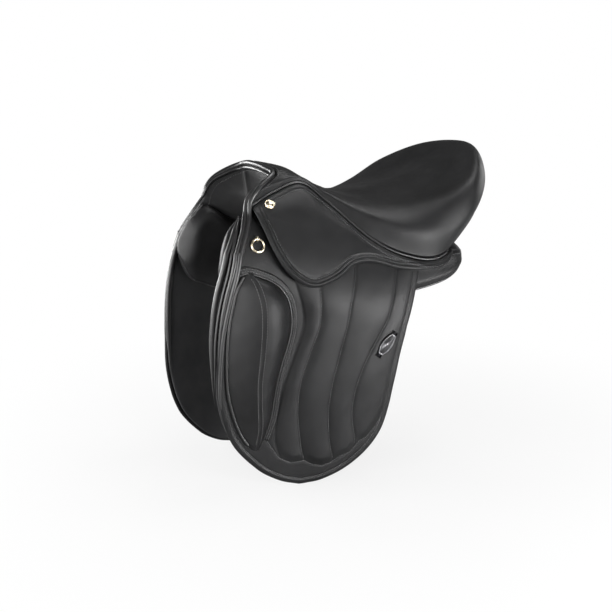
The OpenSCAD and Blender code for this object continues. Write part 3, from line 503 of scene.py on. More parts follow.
def leather(name, dark, light, rough, grain=0.00016, shine=0.15, worn=(0.05, 0.05, 0.052)):
    """Smooth calf leather: pores and fine creases, slow changes of colour and gloss, paler worn edges."""
    n = material(name)
    shake = n.add("ShaderNodeTexNoise", {"Vector": n.where, "Scale": 240}).outputs["Color"]
    shake = n.add("ShaderNodeVectorMath", {0: shake, "Scale": 0.0011}, operation="SCALE").outputs[0]
    drift = n.add("ShaderNodeVectorMath", {0: n.where, 1: shake}, operation="ADD").outputs[0]
    cell = n.span(n.cells(820, drift), 0.0, 0.22)
    fine = n.noise(2600, 3)
    pores = n.span(n.noise(1500, 2, where=drift), 0.60, 0.74)
    edge = n.span(n.add("ShaderNodeNewGeometry", {}).outputs["Pointiness"], 0.52, 0.60)
    scuff = n.math("MULTIPLY", edge, n.span(n.noise(120, 4), 0.42, 0.66))
    colour = n.mixed(n.span(n.noise(14, 4), 0.35, 0.66), dark, light)
    colour = n.mixed(n.math("MULTIPLY", pores, 0.45), colour, tuple(x * 0.45 for x in dark))
    colour = n.mixed(n.math("MULTIPLY", scuff, 0.55), colour, worn)
    height = n.math("SUBTRACT", n.total(cell, 0.75, fine, 0.5), n.math("MULTIPLY", pores, 0.5))
    r = n.span(n.total(n.noise(38, 4), 0.75, fine, 0.25), 0.35, 0.65, *rough)
    return n.finish(colour, r, n.bump(height, grain, 0.55), Specular_IOR_Level=shine)


def thread(name, dark, light):
    """Waxed twisted thread."""
    n = material(name)
    twist = n.wave("DIAGONAL", 1100, 1.5)
    r = n.span(n.noise(500), 0.3, 0.7, 0.42, 0.6)
    return n.finish(n.mixed(twist, dark, light), r, n.bump(twist, 0.00015, 0.8), Sheen_Weight=0.25)


def metal(name, colour, pale, rough, streak):
    """Turned or brushed metal with faint scratches and handling marks."""
    n = material(name)
    lines = n.streaks(streak, 0.7)
    marks = n.noise(180, 4)
    tone = n.mixed(n.span(n.noise(60, 3), 0.35, 0.68), colour, pale)
    dull = n.math("MULTIPLY", n.span(marks, 0.55, 0.75), 0.5)
    tone = n.mixed(dull, tone, tuple(x * 0.6 for x in colour))
    r = n.span(n.total(lines, 0.5, marks, 0.5), 0.35, 0.65, *rough)
    return n.finish(tone, r, n.bump(lines, 0.00002, 0.4), Metallic=1.0)


def cloth(name, dark, light, pitch):
    """Plain-woven webbing."""
    n = material(name)
    weave = n.math("MULTIPLY", n.wave("Y", pitch, 0.4), n.wave("Z", pitch, 0.4))
    colour = n.mixed(n.span(n.total(weave, 0.6, n.noise(90), 0.5), 0.2, 0.8), dark, light)
    r = n.span(n.noise(300), 0.3, 0.7, 0.72, 0.9)
    return n.finish(colour, r, n.bump(weave, 0.0004, 0.8), Sheen_Weight=0.2)


def foam(name, dark, light):
    """Open-cell foam."""
    n = material(name)
    cell = n.cells(620)
    r = n.span(n.noise(200), 0.3, 0.7, 0.85, 0.98)
    return n.finish(n.mixed(n.span(cell, 0.0, 0.4), dark, light), r, n.bump(cell, 0.0006, 0.9))


def wood(name, dark, light):
    """Laminated beech with a thin lacquer."""
    n = material(name)
    fibre = n.streaks((900, 60, 900), 0.6)
    colour = n.mixed(n.total(n.wave("Z", 90, 6.0, Detail=4), 0.55, fibre, 0.45), dark, light)
    return n.finish(colour, n.span(fibre, 0.3, 0.7, 0.42, 0.6), n.bump(fibre, 0.0002, 0.5))


SEAT = leather("seat_leather", (0.005, 0.005, 0.0052), (0.009, 0.009, 0.0093), (0.38, 0.50))
FLAP = leather("flap_leather", (0.004, 0.004, 0.0042), (0.008, 0.008, 0.0083), (0.33, 0.45), 0.0002)
PANEL = leather("panel_leather", (0.005, 0.005, 0.0052), (0.010, 0.010, 0.0103), (0.33, 0.45), 0.0002)
PIPE = leather("piping_leather", (0.005, 0.005, 0.0052), (0.010, 0.010, 0.0103), (0.28, 0.40), 0.0001, 0.4)
LINING = leather("lining_leather", (0.020, 0.020, 0.021), (0.030, 0.030, 0.031), (0.5, 0.64), 0.0002)
THREAD = thread("black_thread", (0.006, 0.006, 0.006), (0.028, 0.028, 0.029))
STEEL = metal("brushed_steel", (0.48, 0.49, 0.50), (0.62, 0.63, 0.64), (0.24, 0.44), (300, 1500, 300))
GUN = metal("gunmetal", (0.012, 0.012, 0.013), (0.022, 0.022, 0.024), (0.30, 0.46), (900, 300, 900))
PEWTER = metal("pewter", (0.13, 0.13, 0.135), (0.21, 0.21, 0.215), (0.30, 0.44), (900, 300, 900))
BRASS = metal("brass", (0.54, 0.46, 0.32), (0.76, 0.69, 0.54), (0.18, 0.36), (500, 500, 1200))
WEB = cloth("webbing", (0.42, 0.40, 0.34), (0.64, 0.61, 0.54), 260)
FOAM = foam("seat_foam", (0.52, 0.47, 0.34), (0.74, 0.69, 0.54))
WOOD = wood("beech", (0.38, 0.25, 0.13), (0.60, 0.44, 0.26))

# Solids that show as they are get their material
for node, mat in (("tree_head", WOOD), ("head_plate", STEEL), ("head_rivets", STEEL), ("stirrup_bar", STEEL),
                  ("bar_catch", STEEL), ("bar_rivets", STEEL), ("dee_ring", BRASS), ("dee_staple", BRASS)):
    for name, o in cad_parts.items():
        if name in (node, node + "_left", node + "_right"):
            o.data.materials.clear()
            o.data.materials.append(mat)


# Placing


def place(part, name, mats, body, nodes, slot):
    o = part.make(name, mats)
    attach(o, body)
    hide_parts(*nodes)
    return o


def pair(part, name, mats, body, nodes, bend_at=None):
    """The same piece on both sides, each attached to its body; with bend_at, a hinge line and how far above
    and below it, the ends of the bend are worked out but not used, and the piece is left where it is,
    unattached.
    """
    made = []
    for side, p in (("left", part), ("right", part.mirrored())):
        o = p.make(f"{name}_{side}", mats)
        if bend_at is None:
            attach(o, body.format(side))
        else:
            a, b, above, below = bend_at
            axis = unit(np.subtract(b, a))
            down = unit(np.array([0, 0, -1.]) + axis * axis[2])
            mid = np.add(a, b) / 2
            s, e = mid - down * above, mid + down * below
            if side == "right":
                s, e = flip(s), flip(e)
            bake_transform(o)
        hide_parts(*[k.format(side) for k in nodes])
        made.append(o)
    return made


# Seat, tree and what lies between them


def half_shell(outer, inner, ripples=0.0):
    """Shell of the seat's near half, with rounded seam and front edge, joined to its mirror image."""
    if ripples:
        n = unit(outer - inner)
        outer = outer + n * (ripples * ripple(outer, 70, 1))[..., None]
    for g in (outer, inner):
        g[-1, :, 0] = 0
        g[:, -1, 0] = 0
    p = Part()
    first, last = p.grid(outer), p.grid(inner, turn=True)
    r, c = outer.shape[:2]
    rows = np.concatenate([np.zeros(c - 1, int), np.arange(r)])
    cols = np.concatenate([np.arange(c - 1, 0, -1), np.zeros(r, int)])
    k = (rows, cols)
    near = (np.clip(rows, 1, r - 2), np.clip(cols, 1, c - 2))
    p.rim(outer[k], inner[k], first[k], last[k], outer[k] - outer[near], closed=False)
    return p.weld()


grid = lattice(lin(0, 1, 151), lin(0, 1, 57))
cover = half_shell(seat(*grid), seat_in(*grid, COVER_THICK), 0.25)
o = place(cover, "seat_leather_cover", [SEAT], "saddle", ["seat_cover"], "leather")

pad = half_shell(*seat_layer(*lattice(lin(.12, 1, 61), lin(.5, 1, 21)), FOAM_LAYER))
o = place(pad, "seat_pad", [FOAM], "saddle", ["seat_foam"], "foam")

# The rails start behind the head, each row of points where it passes the head's back face
RAIL_T, SPRING_T, STRAP_T = (4 / 9, 7 / 9), (5 / 9, 6 / 9), (7 / 9 + .02, 11 / 9 - .02)
tt = lin(*RAIL_T, 9)
along = lin(.12, .4, 300)
first = np.array([np.interp(HEAD_BACK, seat_layer(along, t, (0,))[0][:, 1], along) for t in tt])
ss = mix(first[None], 1, lin(0, 1, 60)[:, None])
rails = Part()
rails.sheet(*[np.concatenate([g, flip(g)[-2::-1]]) for g in seat_layer(ss, tt[None], RAIL_LAYER)])
place(rails, "laminated_rails", [WOOD], "saddle", ["tree_rails"], "wood")

spring = Part()
spring.sheet(*seat_layer(*lattice(lin(.25, .75, 50), lin(*SPRING_T, 7)), SPRING_LAYER))
pair(spring, "spring_strip", [STEEL], "saddle", ["spring_{}"])

straps = Part()
for start in (.30, .42, .54, .66):
    straps.sheet(*seat_layer(*lattice(lin(start, start + .075, 9), lin(*STRAP_T, 25)), STRAP_LAYER))
place(straps, "straining_webs", [WEB], "saddle", ["seat_webbing"], "webbing")

# Piping and welts

FLEX_F, FLEX_R = np.array([-.884 * REACH, 54]), np.array([45., -74])
TOP = [(HINGE_F[1] - 4, HINGE_F[2] - 2), (-164, 78), (-112, 54), (-38, 54), (20, 40), (80, 27)]


def pommel_edge(t, ahead, depth):
    """Line ahead of the pommel's front edge and below its surface."""
    n = unit(seat(0, t) - seat_in(0, t, 1))
    front = unit(np.cross(n, seat(0, np.minimum(2, t + NUDGE)) - seat(0, np.maximum(0, t - NUDGE))))
    return seat_in(0, t, depth) + ahead[:, None] * front


def front_edge(ahead, out, v):
    """Line along the front of the flap's top, from the pommel (0) to the flex line (1)."""
    flat = mix(np.array(TOP[0]), FLEX_F, v[:, None])
    return on_side(flat - np.stack([ahead + 0 * v, 0 * v], 1), out)


# Two rolls over the pommel, which run on down the flap's front: how far ahead at the pommel, depth, radius,
# and at the side how far ahead at the top and at the flex line, and how far out
ROLLS = ((5.2, 1.5, 4.0, -8.0, -4.7, 5.2), (4.4, 9.0, 3.4, -2.5, 1.0, 2.6))
ROLL_SUNK = 2.2  # how much deeper they lie at the middle of the arch
ROLL_STEP, ROLL_EASE = 2.5, 8
piping = Part()
tt, v = lin(.03, 1.97, 120), lin(1.05, .1, 24)
for ahead, depth, r, at_top, at_flex, out in ROLLS:
    near = front_edge(mix(at_top, at_flex, smooth(v)), out, v)
    ahead = ahead * mix(.2, 1, smooth(np.minimum(tt, 2 - tt) / .35))
    over = pommel_edge(tt, ahead, depth + ROLL_SUNK * bell(tt - 1, .4))
    path = eased(np.concatenate([near, over, flip(near)[::-1]]), ROLL_STEP, ROLL_EASE)
    k = np.arange(len(path))
    piping.tube(path, r - .5 * (1 - smooth(np.minimum(k, k[::-1]) * ROLL_STEP / 5)), 16)
behind = seat_in(.03, tt, -.1)
piping.stitches(behind, unit(behind - seat_in(.03, tt, 2)))
place(piping, "pommel_roll", [PIPE, THREAD], "saddle", ["pommel_piping"], "leather")

welt = Part()
welt.tube(seam(lin(.012, .70, 160)) + [1, 0, -2.6], 1.8)
pair(welt, "seam_welt", [PIPE], "saddle", ["seat_welt_{}"])

# Skirts

SKIRT_EDGE = [(HINGE_F[1] + 10, HINGE_F[2] - 11), (-173, 86), (-165, 58), (-150, 29), (-127, 9), (-104, 3),
              (-70, 13), (-40, 30), (-8, 31), (30, 19), (58, 14.5), (82, 13.5)]
SKIRT_FIRST, SKIRT_LAST, SKIRT_FADE = HINGE_F[1] + 8, 82, 13
# Rows of points set close along the edges, where two beads and a stitched line lie
CLOSE_ROWS = np.array([0, .7, 1.4, 2.2, 3, 3.8, 4.4, 5, 5.6, 6.4, 7.2, 8, 8.7, 9.3, 9.9, 10.5, 11.2, 12,
                       13, 14.5])
BEAD, BOTH_BEADS, SEWN_AT = 5.6, 11.0, 11.4


def skirt_up(s):
    return seam(s) + [1.5, 0, -5.0]


def skirt_low(s):
    """The hinge line, which behind the hinge runs up to the seam."""
    s = np.asarray(s)
    up = skirt_up(s)
    back = clamp((s - TAIL_S) / (SKIRT_END - TAIL_S))
    tail = HINGE_R + [0, 0, .2] - skirt_up(TAIL_S)
    return np.where((s < TAIL_S)[..., None], hinge_at(up[..., 1]) + [0, 0, .2],
                    up + tail * np.sqrt(1 - .985 * back ** 2)[..., None])


def skirt_top(s, v, depth):
    e = skirt_up(s)
    w = skirt_low(s) - e
    out = unit(np.stack([-w[..., 2], 0 * w[..., 0], w[..., 0]], -1))
    bow = 5 * clamp(np.linalg.norm(w, axis=-1) / 60)
    v = np.asarray(v)[..., None]
    inwards = unit(mix(out, np.array([1., 0, 0]), v)) * depth
    return e + w * v + out * (bow[..., None] * np.sin(np.pi * v)) - inwards


def skirt_grid():
    """Outer and inner face, each from the seam over the hinge line down to the skirt's edge."""
    s = lin(.016, SKIRT_END, 220)
    y = seam(s)[:, 1]
    top = np.stack([y, hinge_at(y)[:, 2]], 1)
    low = curve(SKIRT_EDGE, clamp((y - SKIRT_FIRST) / (SKIRT_LAST - SKIRT_FIRST)))
    low = top + (low - top) * smooth((SKIRT_LAST + SKIRT_FADE - y) / SKIRT_FADE)[:, None]
    upper_run = np.linalg.norm(skirt_top(s, 1., 0) - skirt_top(s, 0., 0), axis=1)
    lower_run = np.linalg.norm(low - top, axis=1) * 1.1
    whole = upper_run + lower_run
    squeeze = np.minimum(1, whole / 40)
    up = CLOSE_ROWS[:, None] * squeeze
    down = whole - CLOSE_ROWS[::-1, None] * squeeze
    mid = up[-1] + (down[0] - up[-1]) * lin(0, 1, 32)[1:-1, None]
    d = np.concatenate([up, mid, down])
    v1, v2 = clamp(d / upper_run), clamp((d - upper_run) / np.maximum(lower_run, 1e-6))
    s = np.broadcast_to(s, d.shape)
    faces = []
    for depth in (0.0, SKIRT_THICK):
        out = SKIRT_OUT - depth
        fall = on_side(top + (low - top) * v2[..., None], out) - on_side(top, out)
        above = (d <= upper_run + 1e-6)[..., None]
        faces.append(np.where(above, skirt_top(s, v1, depth), skirt_top(s, 1., depth) + fall))
    return faces


def contour(dist, level, grid, cols):
    """Path at one distance from an edge, found down each column of a grid."""
    path = []
    for j in cols:
        k = np.nonzero(dist[:, j] > level)[0]
        if len(k) == 0:
            continue
        i = k[-1] if dist[-1, j] < dist[0, j] else k[0]
        n = min(i + 1, len(dist) - 1) if dist[-1, j] < dist[0, j] else max(i - 1, 0)
        t = (dist[i, j] - level) / max(1e-6, dist[i, j] - dist[n, j])
        path.append(grid[i, j] + (grid[n, j] - grid[i, j]) * clamp(t))
    return np.array(path)


outer, inner = skirt_grid()
face = unit(outer - inner)
rim_low = to_line(outer, np.concatenate([outer[::6, 0], outer[-1]]))
rim_up = to_line(outer, outer[0])
bead = np.where(rim_low < BEAD, 1.5 * hump(rim_low, BEAD) - .2, 1.3 * hump(rim_low - BEAD, 5.4))
bead = bead - bell(rim_low - BEAD, .8) - .9 * bell(rim_low - SEWN_AT, .9)
roll = np.where(rim_up < BOTH_BEADS, 1.3 * hump(rim_up, BOTH_BEADS), 0) - .9 * bell(rim_up - SEWN_AT, .9)
roll = np.where(rim_low < BOTH_BEADS, 0, roll)
room = smooth((rim_low + rim_up - 12) / 14)
outer = outer + face * ((bead + roll) * room + .2 * ripple(outer, 60, 2))[..., None]
skirt = Part()
skirt.sheet(outer, inner)
for dist, cols in ((rim_low, range(14, 170)), (rim_up, range(14, 205))):
    skirt.stitches(contour(dist, SEWN_AT, outer, cols), contour(dist, SEWN_AT, face, cols), lift=.35)
pair(skirt, "skirt_leather", [FLAP, THREAD], "skirt_{}", ["skirt_top_{}", "skirt_{}"],
     (HINGE_F, HINGE_R, 4, 12))

# Brass stud: a stepped rim, a groove and a plain dome
STUD_S, STUD_V = .075, .42
STUD = [(7.6, -.8), (8, -.2), (8, .8), (7.7, 1.25), (7.1, 1.35), (6.6, 1.0), (6.3, 1.0), (5.9, 1.5),
        (5.2, 2.3), (4, 3.0), (2.6, 3.45), (1.3, 3.65), (.4, 3.7), (.01, 3.7)]
at = skirt_top(STUD_S, STUD_V, 0)
n = unit(np.cross(skirt_top(STUD_S, STUD_V + NUDGE, 0) - at, skirt_top(STUD_S + NUDGE, STUD_V, 0) - at))
stud = Part()
stud.dome(at + n * .6, n, STUD)
pair(stud, "brass_stud", [BRASS], "saddle", ["skirt_stud_{}"])

# Flaps

FRONT = [tuple(FLEX_F)] + [(a * REACH, b * DROP) for a, b in (
    (-.955, -.03), (-.99, -.20), (-1, -.38), (-.99, -.57), (-.916, -.755), (-.76, -.90), (-.62, -.97),
    (-.50, -1))]
REAR = [tuple(FLEX_R)] + [(a, b * DROP) for a, b in (
    (36, -.357), (27, -.503), (18, -.643), (6, -.764), (-18, -.866), (-50, -.943), (-88, -.99), (-117, -1))]
# Share across the flap at which each quilted channel starts, from the flex line down
CHANNELS = [[.33, .43, .42, .38, .35, .32, .31], [.47, .51, .49, .46, .46, .49, .52],
            [.65, .66, .65, .64, .65, .70, .79], [.88, .84, .80, .78, .80, .88, .93], [1.0] * 7]
HEM = np.array([(-196, -205), (-180, -235), (-159, -268), (-139, -279), (-118, -278), (-104, -286),
                (-89, -290), (-74, -286), (-59, -277), (-44, -273), (-28, -255), (-17, -251), (-2, -233),
                (12, -212), (24, -196)], float)
KNEE_F = np.array([(-.84, .09), (-.89, .02), (-.92, -.07), (-.945, -.19), (-.955, -.334), (-.95, -.478),
                   (-.917, -.605), (-.87, -.707), (-.81, -.783)]) * [REACH, DROP]
KNEE_R = np.array([(-.80, .08), (-.675, .032), (-.60, -.045), (-.575, -.15), (-.59, -.25), (-.635, -.37),
                   (-.67, -.49), (-.70, -.64), (-.765, -.787)]) * [REACH, DROP]
PAD, PUFF, EDGE_BEAD = 5.0, 3.1, 6.5
# Stitches: how far in from the edge, and how far out along channels and edge and along the hem
HEM_SEAM, SEWN_OUT, HEM_OUT = 7.2, 4.6, 4.5


def flap_point(a, v):
    return mix(curve(FRONT, v), curve(REAR, v), np.asarray(a)[..., None])


def channel(k, v):
    return curve(CHANNELS[k], np.minimum(1, np.asarray(v) / .70))


def flap_top_point(a, v):
    return mix(curve(TOP, a), mix(FLEX_F, FLEX_R, np.asarray(a)[..., None]), np.asarray(v)[..., None])


OUTLINE = np.concatenate([flap_top_point(np.zeros(20), lin(0, 1, 20)), curve(FRONT, lin(0, 1, 90))[1:],
                          curve(REAR, lin(1, 0, 90)), flap_top_point(np.ones(12), lin(1, 0, 12))[1:]])


def below_hem(p):
    """Signed distance from the scalloped hem, positive inside the quilting."""
    d = to_line(p, HEM)
    return np.where(p[..., 1] > np.interp(p[..., 0], HEM[:, 0], HEM[:, 1]), d, -d)


def pad_height(p):
    """Soft filling of the quilted part, between the knee block and the edges."""
    y, z = p[..., 0], p[..., 1]
    down = smooth((40 - z) / 70) * smooth((z + 265) / 150)
    inside = smooth(to_line(p, OUTLINE) / 55) * smooth((to_line(p, KNEE_R) - 14) / 45)
    return PAD * down * inside * (y > np.interp(-z, -KNEE_R[1:, 1], KNEE_R[1:, 0]))


def on_flap(path, out):
    return on_side(path, out + pad_height(path)), side_normal(path)


def flap_grid():
    """Flat points of the flap, and how far across its channel each lies (-1 ahead of the first)."""
    pts, across = [], []
    for v in np.concatenate([lin(0, 1, 22)[:-1] - 1, lin(0, 1, 150)]):
        c = [float(channel(k, max(0.0, v))) for k in range(5)]
        u = crowded(np.arange(20) / 20, .55)
        a = np.concatenate([lin(0, c[0], 26)[:-1]] + [mix(c[k], c[k + 1], u) for k in range(4)] + [[1.0]])
        row = np.full(a.shape, v)
        pts.append(flap_top_point(a, row + 1) if v < 0 else flap_point(a, row))
        across.append(np.concatenate([np.full(25, -1.0)] + [u] * 4 + [[1.0]]))
    return np.array(pts), np.array(across)


flat, t = flap_grid()
rim, hem = to_line(flat, OUTLINE), below_hem(flat)
lift = PUFF * hump(t, 1) ** .55 * smooth(hem / 13) * smooth(rim / 16)
groove = np.where(t < 0, 0, bell(np.minimum(clamp(t), 1 - clamp(t)) * 60, 1.3))
groove = groove * smooth(hem / 3) * smooth((rim - 6) / 6)
hemline = bell(hem, 1.1) * smooth((rim - 8) / 5) * smooth((flat[..., 0] + 190) / 14)
edge_roll = .9 * hump(rim, EDGE_BEAD) * (rim < EDGE_BEAD) - .6 * bell(rim - HEM_SEAM, .9)
outer = on_side(flat, FLAP_OUT + pad_height(flat) + lift - .8 * groove - .7 * hemline + edge_roll)
outer[..., 0] += .3 * ripple(outer, 55, 3)
flap = Part()
flap.sheet(outer, on_side(flat, 0))
v = lin(0, .9, 160)
for k in (1, 2, 3):
    line = flap_point(channel(k, v), v)
    keep = (below_hem(line) > 4) & (to_line(line, OUTLINE) > 12)
    flap.stitches(*on_flap(line[keep], SEWN_OUT))
flap.stitches(*on_flap(filled(HEM[1:-1], 8), HEM_OUT))
border = np.concatenate([curve(FRONT, lin(.62, 1, 90)), curve(REAR, lin(1, .02, 160))])
flap.stitches(*on_flap(border + beside(border) * HEM_SEAM, SEWN_OUT))
# Rolls down the flap's front edge, carrying on the lines of the pommel rolls: how far they turn in,
# how far out they end, and the share of the edge at which they end
w = lin(-.02, 1, 102)
for (_, _, r, _, ahead, out), turn_in, low_out, end in zip(ROLLS, (5.0, -1.0), (3.4, 1.6), (.60, .46)):
    inside = curve([-ahead, turn_in, turn_in * .5, 0, -1.2], np.maximum(0, w))
    line = curve(FRONT, w * end) + np.stack([inside, 0 * w], 1)
    thin = (r - .3 * w * r) * smooth((1.05 - w) / .4)
    flap.tube(on_side(line, mix(out, low_out, smooth(w / .7))), thin, 14, 2)
pair(flap, "flap_leather", [FLAP, THREAD, PIPE], "flap_{}", ["flap_top_{}", "flap_{}"],
     (on_side(FLEX_F, 0), on_side(FLEX_R, 0), 12, 6))

# Knee blocks

KNEE_BASE, KNEE_FOOT, KNEE_RISE = 5.2, 3, 31
# Cords along the rear and front edge: how far beside the edge, how far out, radius
BAND_CORD, FRONT_CORD = (1.2, 8.6, 1.7), (-2.2, 7.4, 2.1)
RISE = [.16, .62, .92, 1, .96, .86, .72, .52, .14]
KNEE_SEAM = [.42, .40, .40, .41, .42, .44, .46, .48, .50]
BAND_START = [(-226., 21), (-215., 27)]
BAND_HALF = 5.5


def knee_point(a, v):
    return mix(curve(KNEE_F, v), curve(KNEE_R, v), np.asarray(a)[..., None])


def knee_top(a, v):
    return KNEE_OUT + (KNEE_FOOT + KNEE_RISE * curve(RISE, v) * hump(a, 1) ** .8)


vv, aa = lattice(lin(0, 1, 110), crowded(lin(0, 1, 53), .6))
flat = knee_point(aa, vv)
seam_gap = to_line(flat, knee_point(curve(KNEE_SEAM, lin(0, 1, 60)), lin(0, 1, 60)))
outer = on_side(flat, knee_top(aa, vv) - 1.1 * bell(seam_gap, 1.0) + .5 * bell(seam_gap - 3, 1.8))
outer[..., 0] += .3 * ripple(outer, 45, 4)
knee = Part()
knee.sheet(outer, on_side(flat, KNEE_BASE))
v = lin(.03, .97, 120)
wide = np.linalg.norm(curve(KNEE_R, v) - curve(KNEE_F, v), axis=1)
for off in (-3.4, 3.4):
    a = curve(KNEE_SEAM, v) + off / np.maximum(wide, 8)
    path, ahead, back = (on_side(knee_point(b, v), knee_top(b, v)) for b in (a, a - .03, a + .03))
    path[:, 0] += .3
    up = np.cross(np.gradient(path, axis=0), back - ahead)
    knee.stitches(path, unit(up) * np.sign(up[:, :1]))
# Bound band round the block's rear edge: a cord next to the block, and a flat strip with two rows of stitches
v = lin(0, .97, 150)
line = curve(np.concatenate([BAND_START, KNEE_R]), v)
away = beside(line)
sunk = 6 * (1 - smooth((v - .01) / .07))
band = []
for k in 2 * math.pi * np.arange(20) / 20:
    high = KNEE_OUT + 2 * (1 + math.sin(k) * (1 + .12 * np.cos(2 * k)))
    band.append(on_side(line + away * (.4 + BAND_HALF * (1 + math.cos(k))), high - sunk))
band = np.stack(band, 1)
i = knee.loft(band, turn=True)
knee.cap(i[0], band[0].mean(0))
knee.cap(i[-1], band[-1].mean(0), True)
off, out, r = BAND_CORD
knee.tube(on_side(line + away * off, out - sunk), r, mat=2)
for off, out in ((4.6, 9.3), (8.6, 8.9)):
    knee.stitches(*on_flap((line + away * off)[12:], out))
line = curve(KNEE_F, lin(.03, .97, 130))
off, out, r = FRONT_CORD
knee.tube(on_side(line + beside(line) * off, out), r, mat=2)
for o in pair(knee, "knee_block_pad", [FLAP, THREAD, PIPE], "flap_{}", ["knee_block_{}", "knee_welt_{}"]):
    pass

# Blank plaque: a dark pointed oval with squared ends, and a paler raised middle with a rim
PLAQUE_L, PLAQUE_W, PLAQUE_END = 24.0, 10.0, 5.0
PLAQUE_AT, PLAQUE_TURN, PLAQUE_OUT = np.array([9., -99]), math.radians(52), 8.2
PLAQUE_ARC = (PLAQUE_L ** 2 + PLAQUE_W ** 2) / (2 * PLAQUE_W)
PLAQUE_N = 61


def plaque_half(x, end, shrink):
    """Half width of the plaque at a place along it."""
    half = np.sqrt(np.maximum(0, PLAQUE_ARC ** 2 - x ** 2)) - PLAQUE_ARC + PLAQUE_W
    return np.maximum(half, end) - shrink


def plaque_face(plaque, reach, end, rows, mat):
    """Closed plate, its outline shrunk by the first and lifted by the second number of each row."""
    middle, n = on_side(PLAQUE_AT, PLAQUE_OUT + pad_height(PLAQUE_AT)), side_normal(PLAQUE_AT)
    a, b = square_to(n)
    c, s = math.cos(PLAQUE_TURN), math.sin(PLAQUE_TURN)
    a, b = a * c + b * s, b * c - a * s
    x = np.concatenate([lin(-1, 1, PLAQUE_N), lin(1, -1, PLAQUE_N)])
    sign = np.repeat([1., -1.], PLAQUE_N)
    rings = []
    for shrink, h in rows:
        u = x * (reach - shrink)
        rings.append(middle + u[:, None] * a + (sign * plaque_half(u, end, shrink))[:, None] * b + h * n)
    last = plaque.loft(rings, mat)[-1]
    k = np.arange(PLAQUE_N)[:-1]
    other = 2 * PLAQUE_N - 1 - k
    plaque.quads(last[k], last[other], last[other - 1], last[k + 1], mat)


plaque = Part()
plaque_face(plaque, PLAQUE_L, PLAQUE_END, [(.6, -.4), (0, .2), (0, 1.4), (.3, 1.8), (.8, 2.0)], 0)
plaque_face(plaque, 19.5, 1.2, [(1.6, 1.6), (1.4, 2.4), (1.7, 2.75), (2.3, 2.8), (2.7, 2.45), (3.0, 2.3)], 1)
pair(plaque, "blank_plaque", [GUN, PEWTER], "flap_{}", ["plaque_{}"])

# Panels: places along them, and there the heights of ridge, shoulder and foot and the extra gullet width

PANEL_Y = [-236, -215, -190, -150, -100, -40, 40, 110, 178]
PANEL_TOP = [56, 86, 102, 79.2, 75.4, 62, 58, 57, 55]
PANEL_SHOULDER = [42, 68, 80, 58, 48, 38, 32, 31, 32]
PANEL_LOW = [14, -12, -24, -40, -46, -40, -32, -24, -10]
PANEL_GULLET, GULLET_HALF = [30, 14, 12, 6, 2, 0, 0, 4, 26], 34
PANEL_N = 72


def panel_ring(u):
    y, top, low, high, wider = (float(curve(p, u)) for p in (PANEL_Y, PANEL_TOP, PANEL_LOW, PANEL_SHOULDER,
                                                             PANEL_GULLET))
    gullet = GULLET_HALF + wider
    outside = lambda z: float(side_x(y, z)) + PANEL_OUT
    inner, heel = np.array([gullet, top - 20.8]), np.array([outside(low) - 24, low])
    ridge = np.array([gullet + min(14, .45 * (outside(high) - gullet)), top])
    half = (high + low) / 2
    p = np.array([inner, ridge, mix(ridge, np.array([outside(high), high]), .55) + [0, 5],
                  [outside(high) - 1, high], [outside(half) - 1, half], [outside(low + 10) - 3, low + 10],
                  heel, mix(heel, inner, .5) + [-7, -9]])
    w = np.arange(PANEL_N) / PANEL_N * 8
    i = np.floor(w).astype(int)
    q = bend(p[(i - 1) % 8], p[i % 8], p[(i + 1) % 8], p[(i + 2) % 8], (w - i)[:, None])
    q = mix(p.mean(0), q, max(.02, math.sqrt(max(0, 1 - abs(2 * u - 1) ** 14))))
    return np.stack([q[:, 0], np.full(PANEL_N, y), q[:, 1]], 1)


us = np.concatenate([1 - np.cos(lin(.02, .5, 26) * math.pi), 1 + np.cos(lin(.5, .02, 26) * math.pi)[1:]]) / 2
us = mix(us, lin(0, 1, len(us)), .35)
us = np.unique(np.concatenate([us, [.0004, .0015, .004, .008, .014, .986, .992, .996, .9985, .9996]]))
rings = np.array([panel_ring(u) for u in us])
middle = rings.mean(1, keepdims=True)
rings = rings + unit(rings - middle) * (.5 * ripple(rings, 65, 5))[..., None]
panel = Part()
i = panel.loft(rings, turn=True)
panel.cap(i[0], rings[0].mean(0))
panel.cap(i[-1], rings[-1].mean(0), True)
k = np.arange(len(rings) - 4)
thin = 1.9 * smooth(np.minimum(k, k[::-1]) / 12 + .08)
for col in (27, 50):
    up = unit(rings - middle)[2:-2, col]
    panel.tube(rings[2:-2, col] + up * .4, thin, mat=1)
    panel.stitches(rings[6:-6, col + 3] + up[4:-4] * .2, up[4:-4], 2)
for o in pair(panel, "flocked_panel", [PANEL, PIPE, THREAD], "saddle", ["panel_{}"]):
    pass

# Sweat flaps

SWEAT_F = np.array([(-.812, .248), (-.912, .064), (-.972, -.159), (-.996, -.382), (-.984, -.573),
                    (-.904, -.752), (-.752, -.889), (-.612, -.955), (-.504, -.975)]) * [REACH, DROP]
SWEAT_R = np.array([(44, .019), (36, -.223), (28, -.414), (19, -.573), (7, -.726), (-19, -.841), (-51, -.917),
                    (-88, -.962), (-117, -.975)]) * [1, DROP]
SWEAT_SEAM = 6
vv, aa = lattice(lin(0, 1, 90), lin(0, 1, 60))
flat = mix(curve(SWEAT_F, vv), curve(SWEAT_R, vv), aa[..., None])
line = np.concatenate([curve(SWEAT_F, lin(.01, 1, 140)), curve(SWEAT_R, lin(1, .01, 140))[1:]])
bead = -.5 * bell(to_line(flat, line) - SWEAT_SEAM, 1.2)
sweat = Part()
sweat.sheet(on_side(flat, SWEAT_OUT + bead), on_side(flat, SWEAT_IN))
line = line + beside(line) * SWEAT_SEAM
sweat.stitches(on_side(line, SWEAT_OUT - .4), side_normal(line))
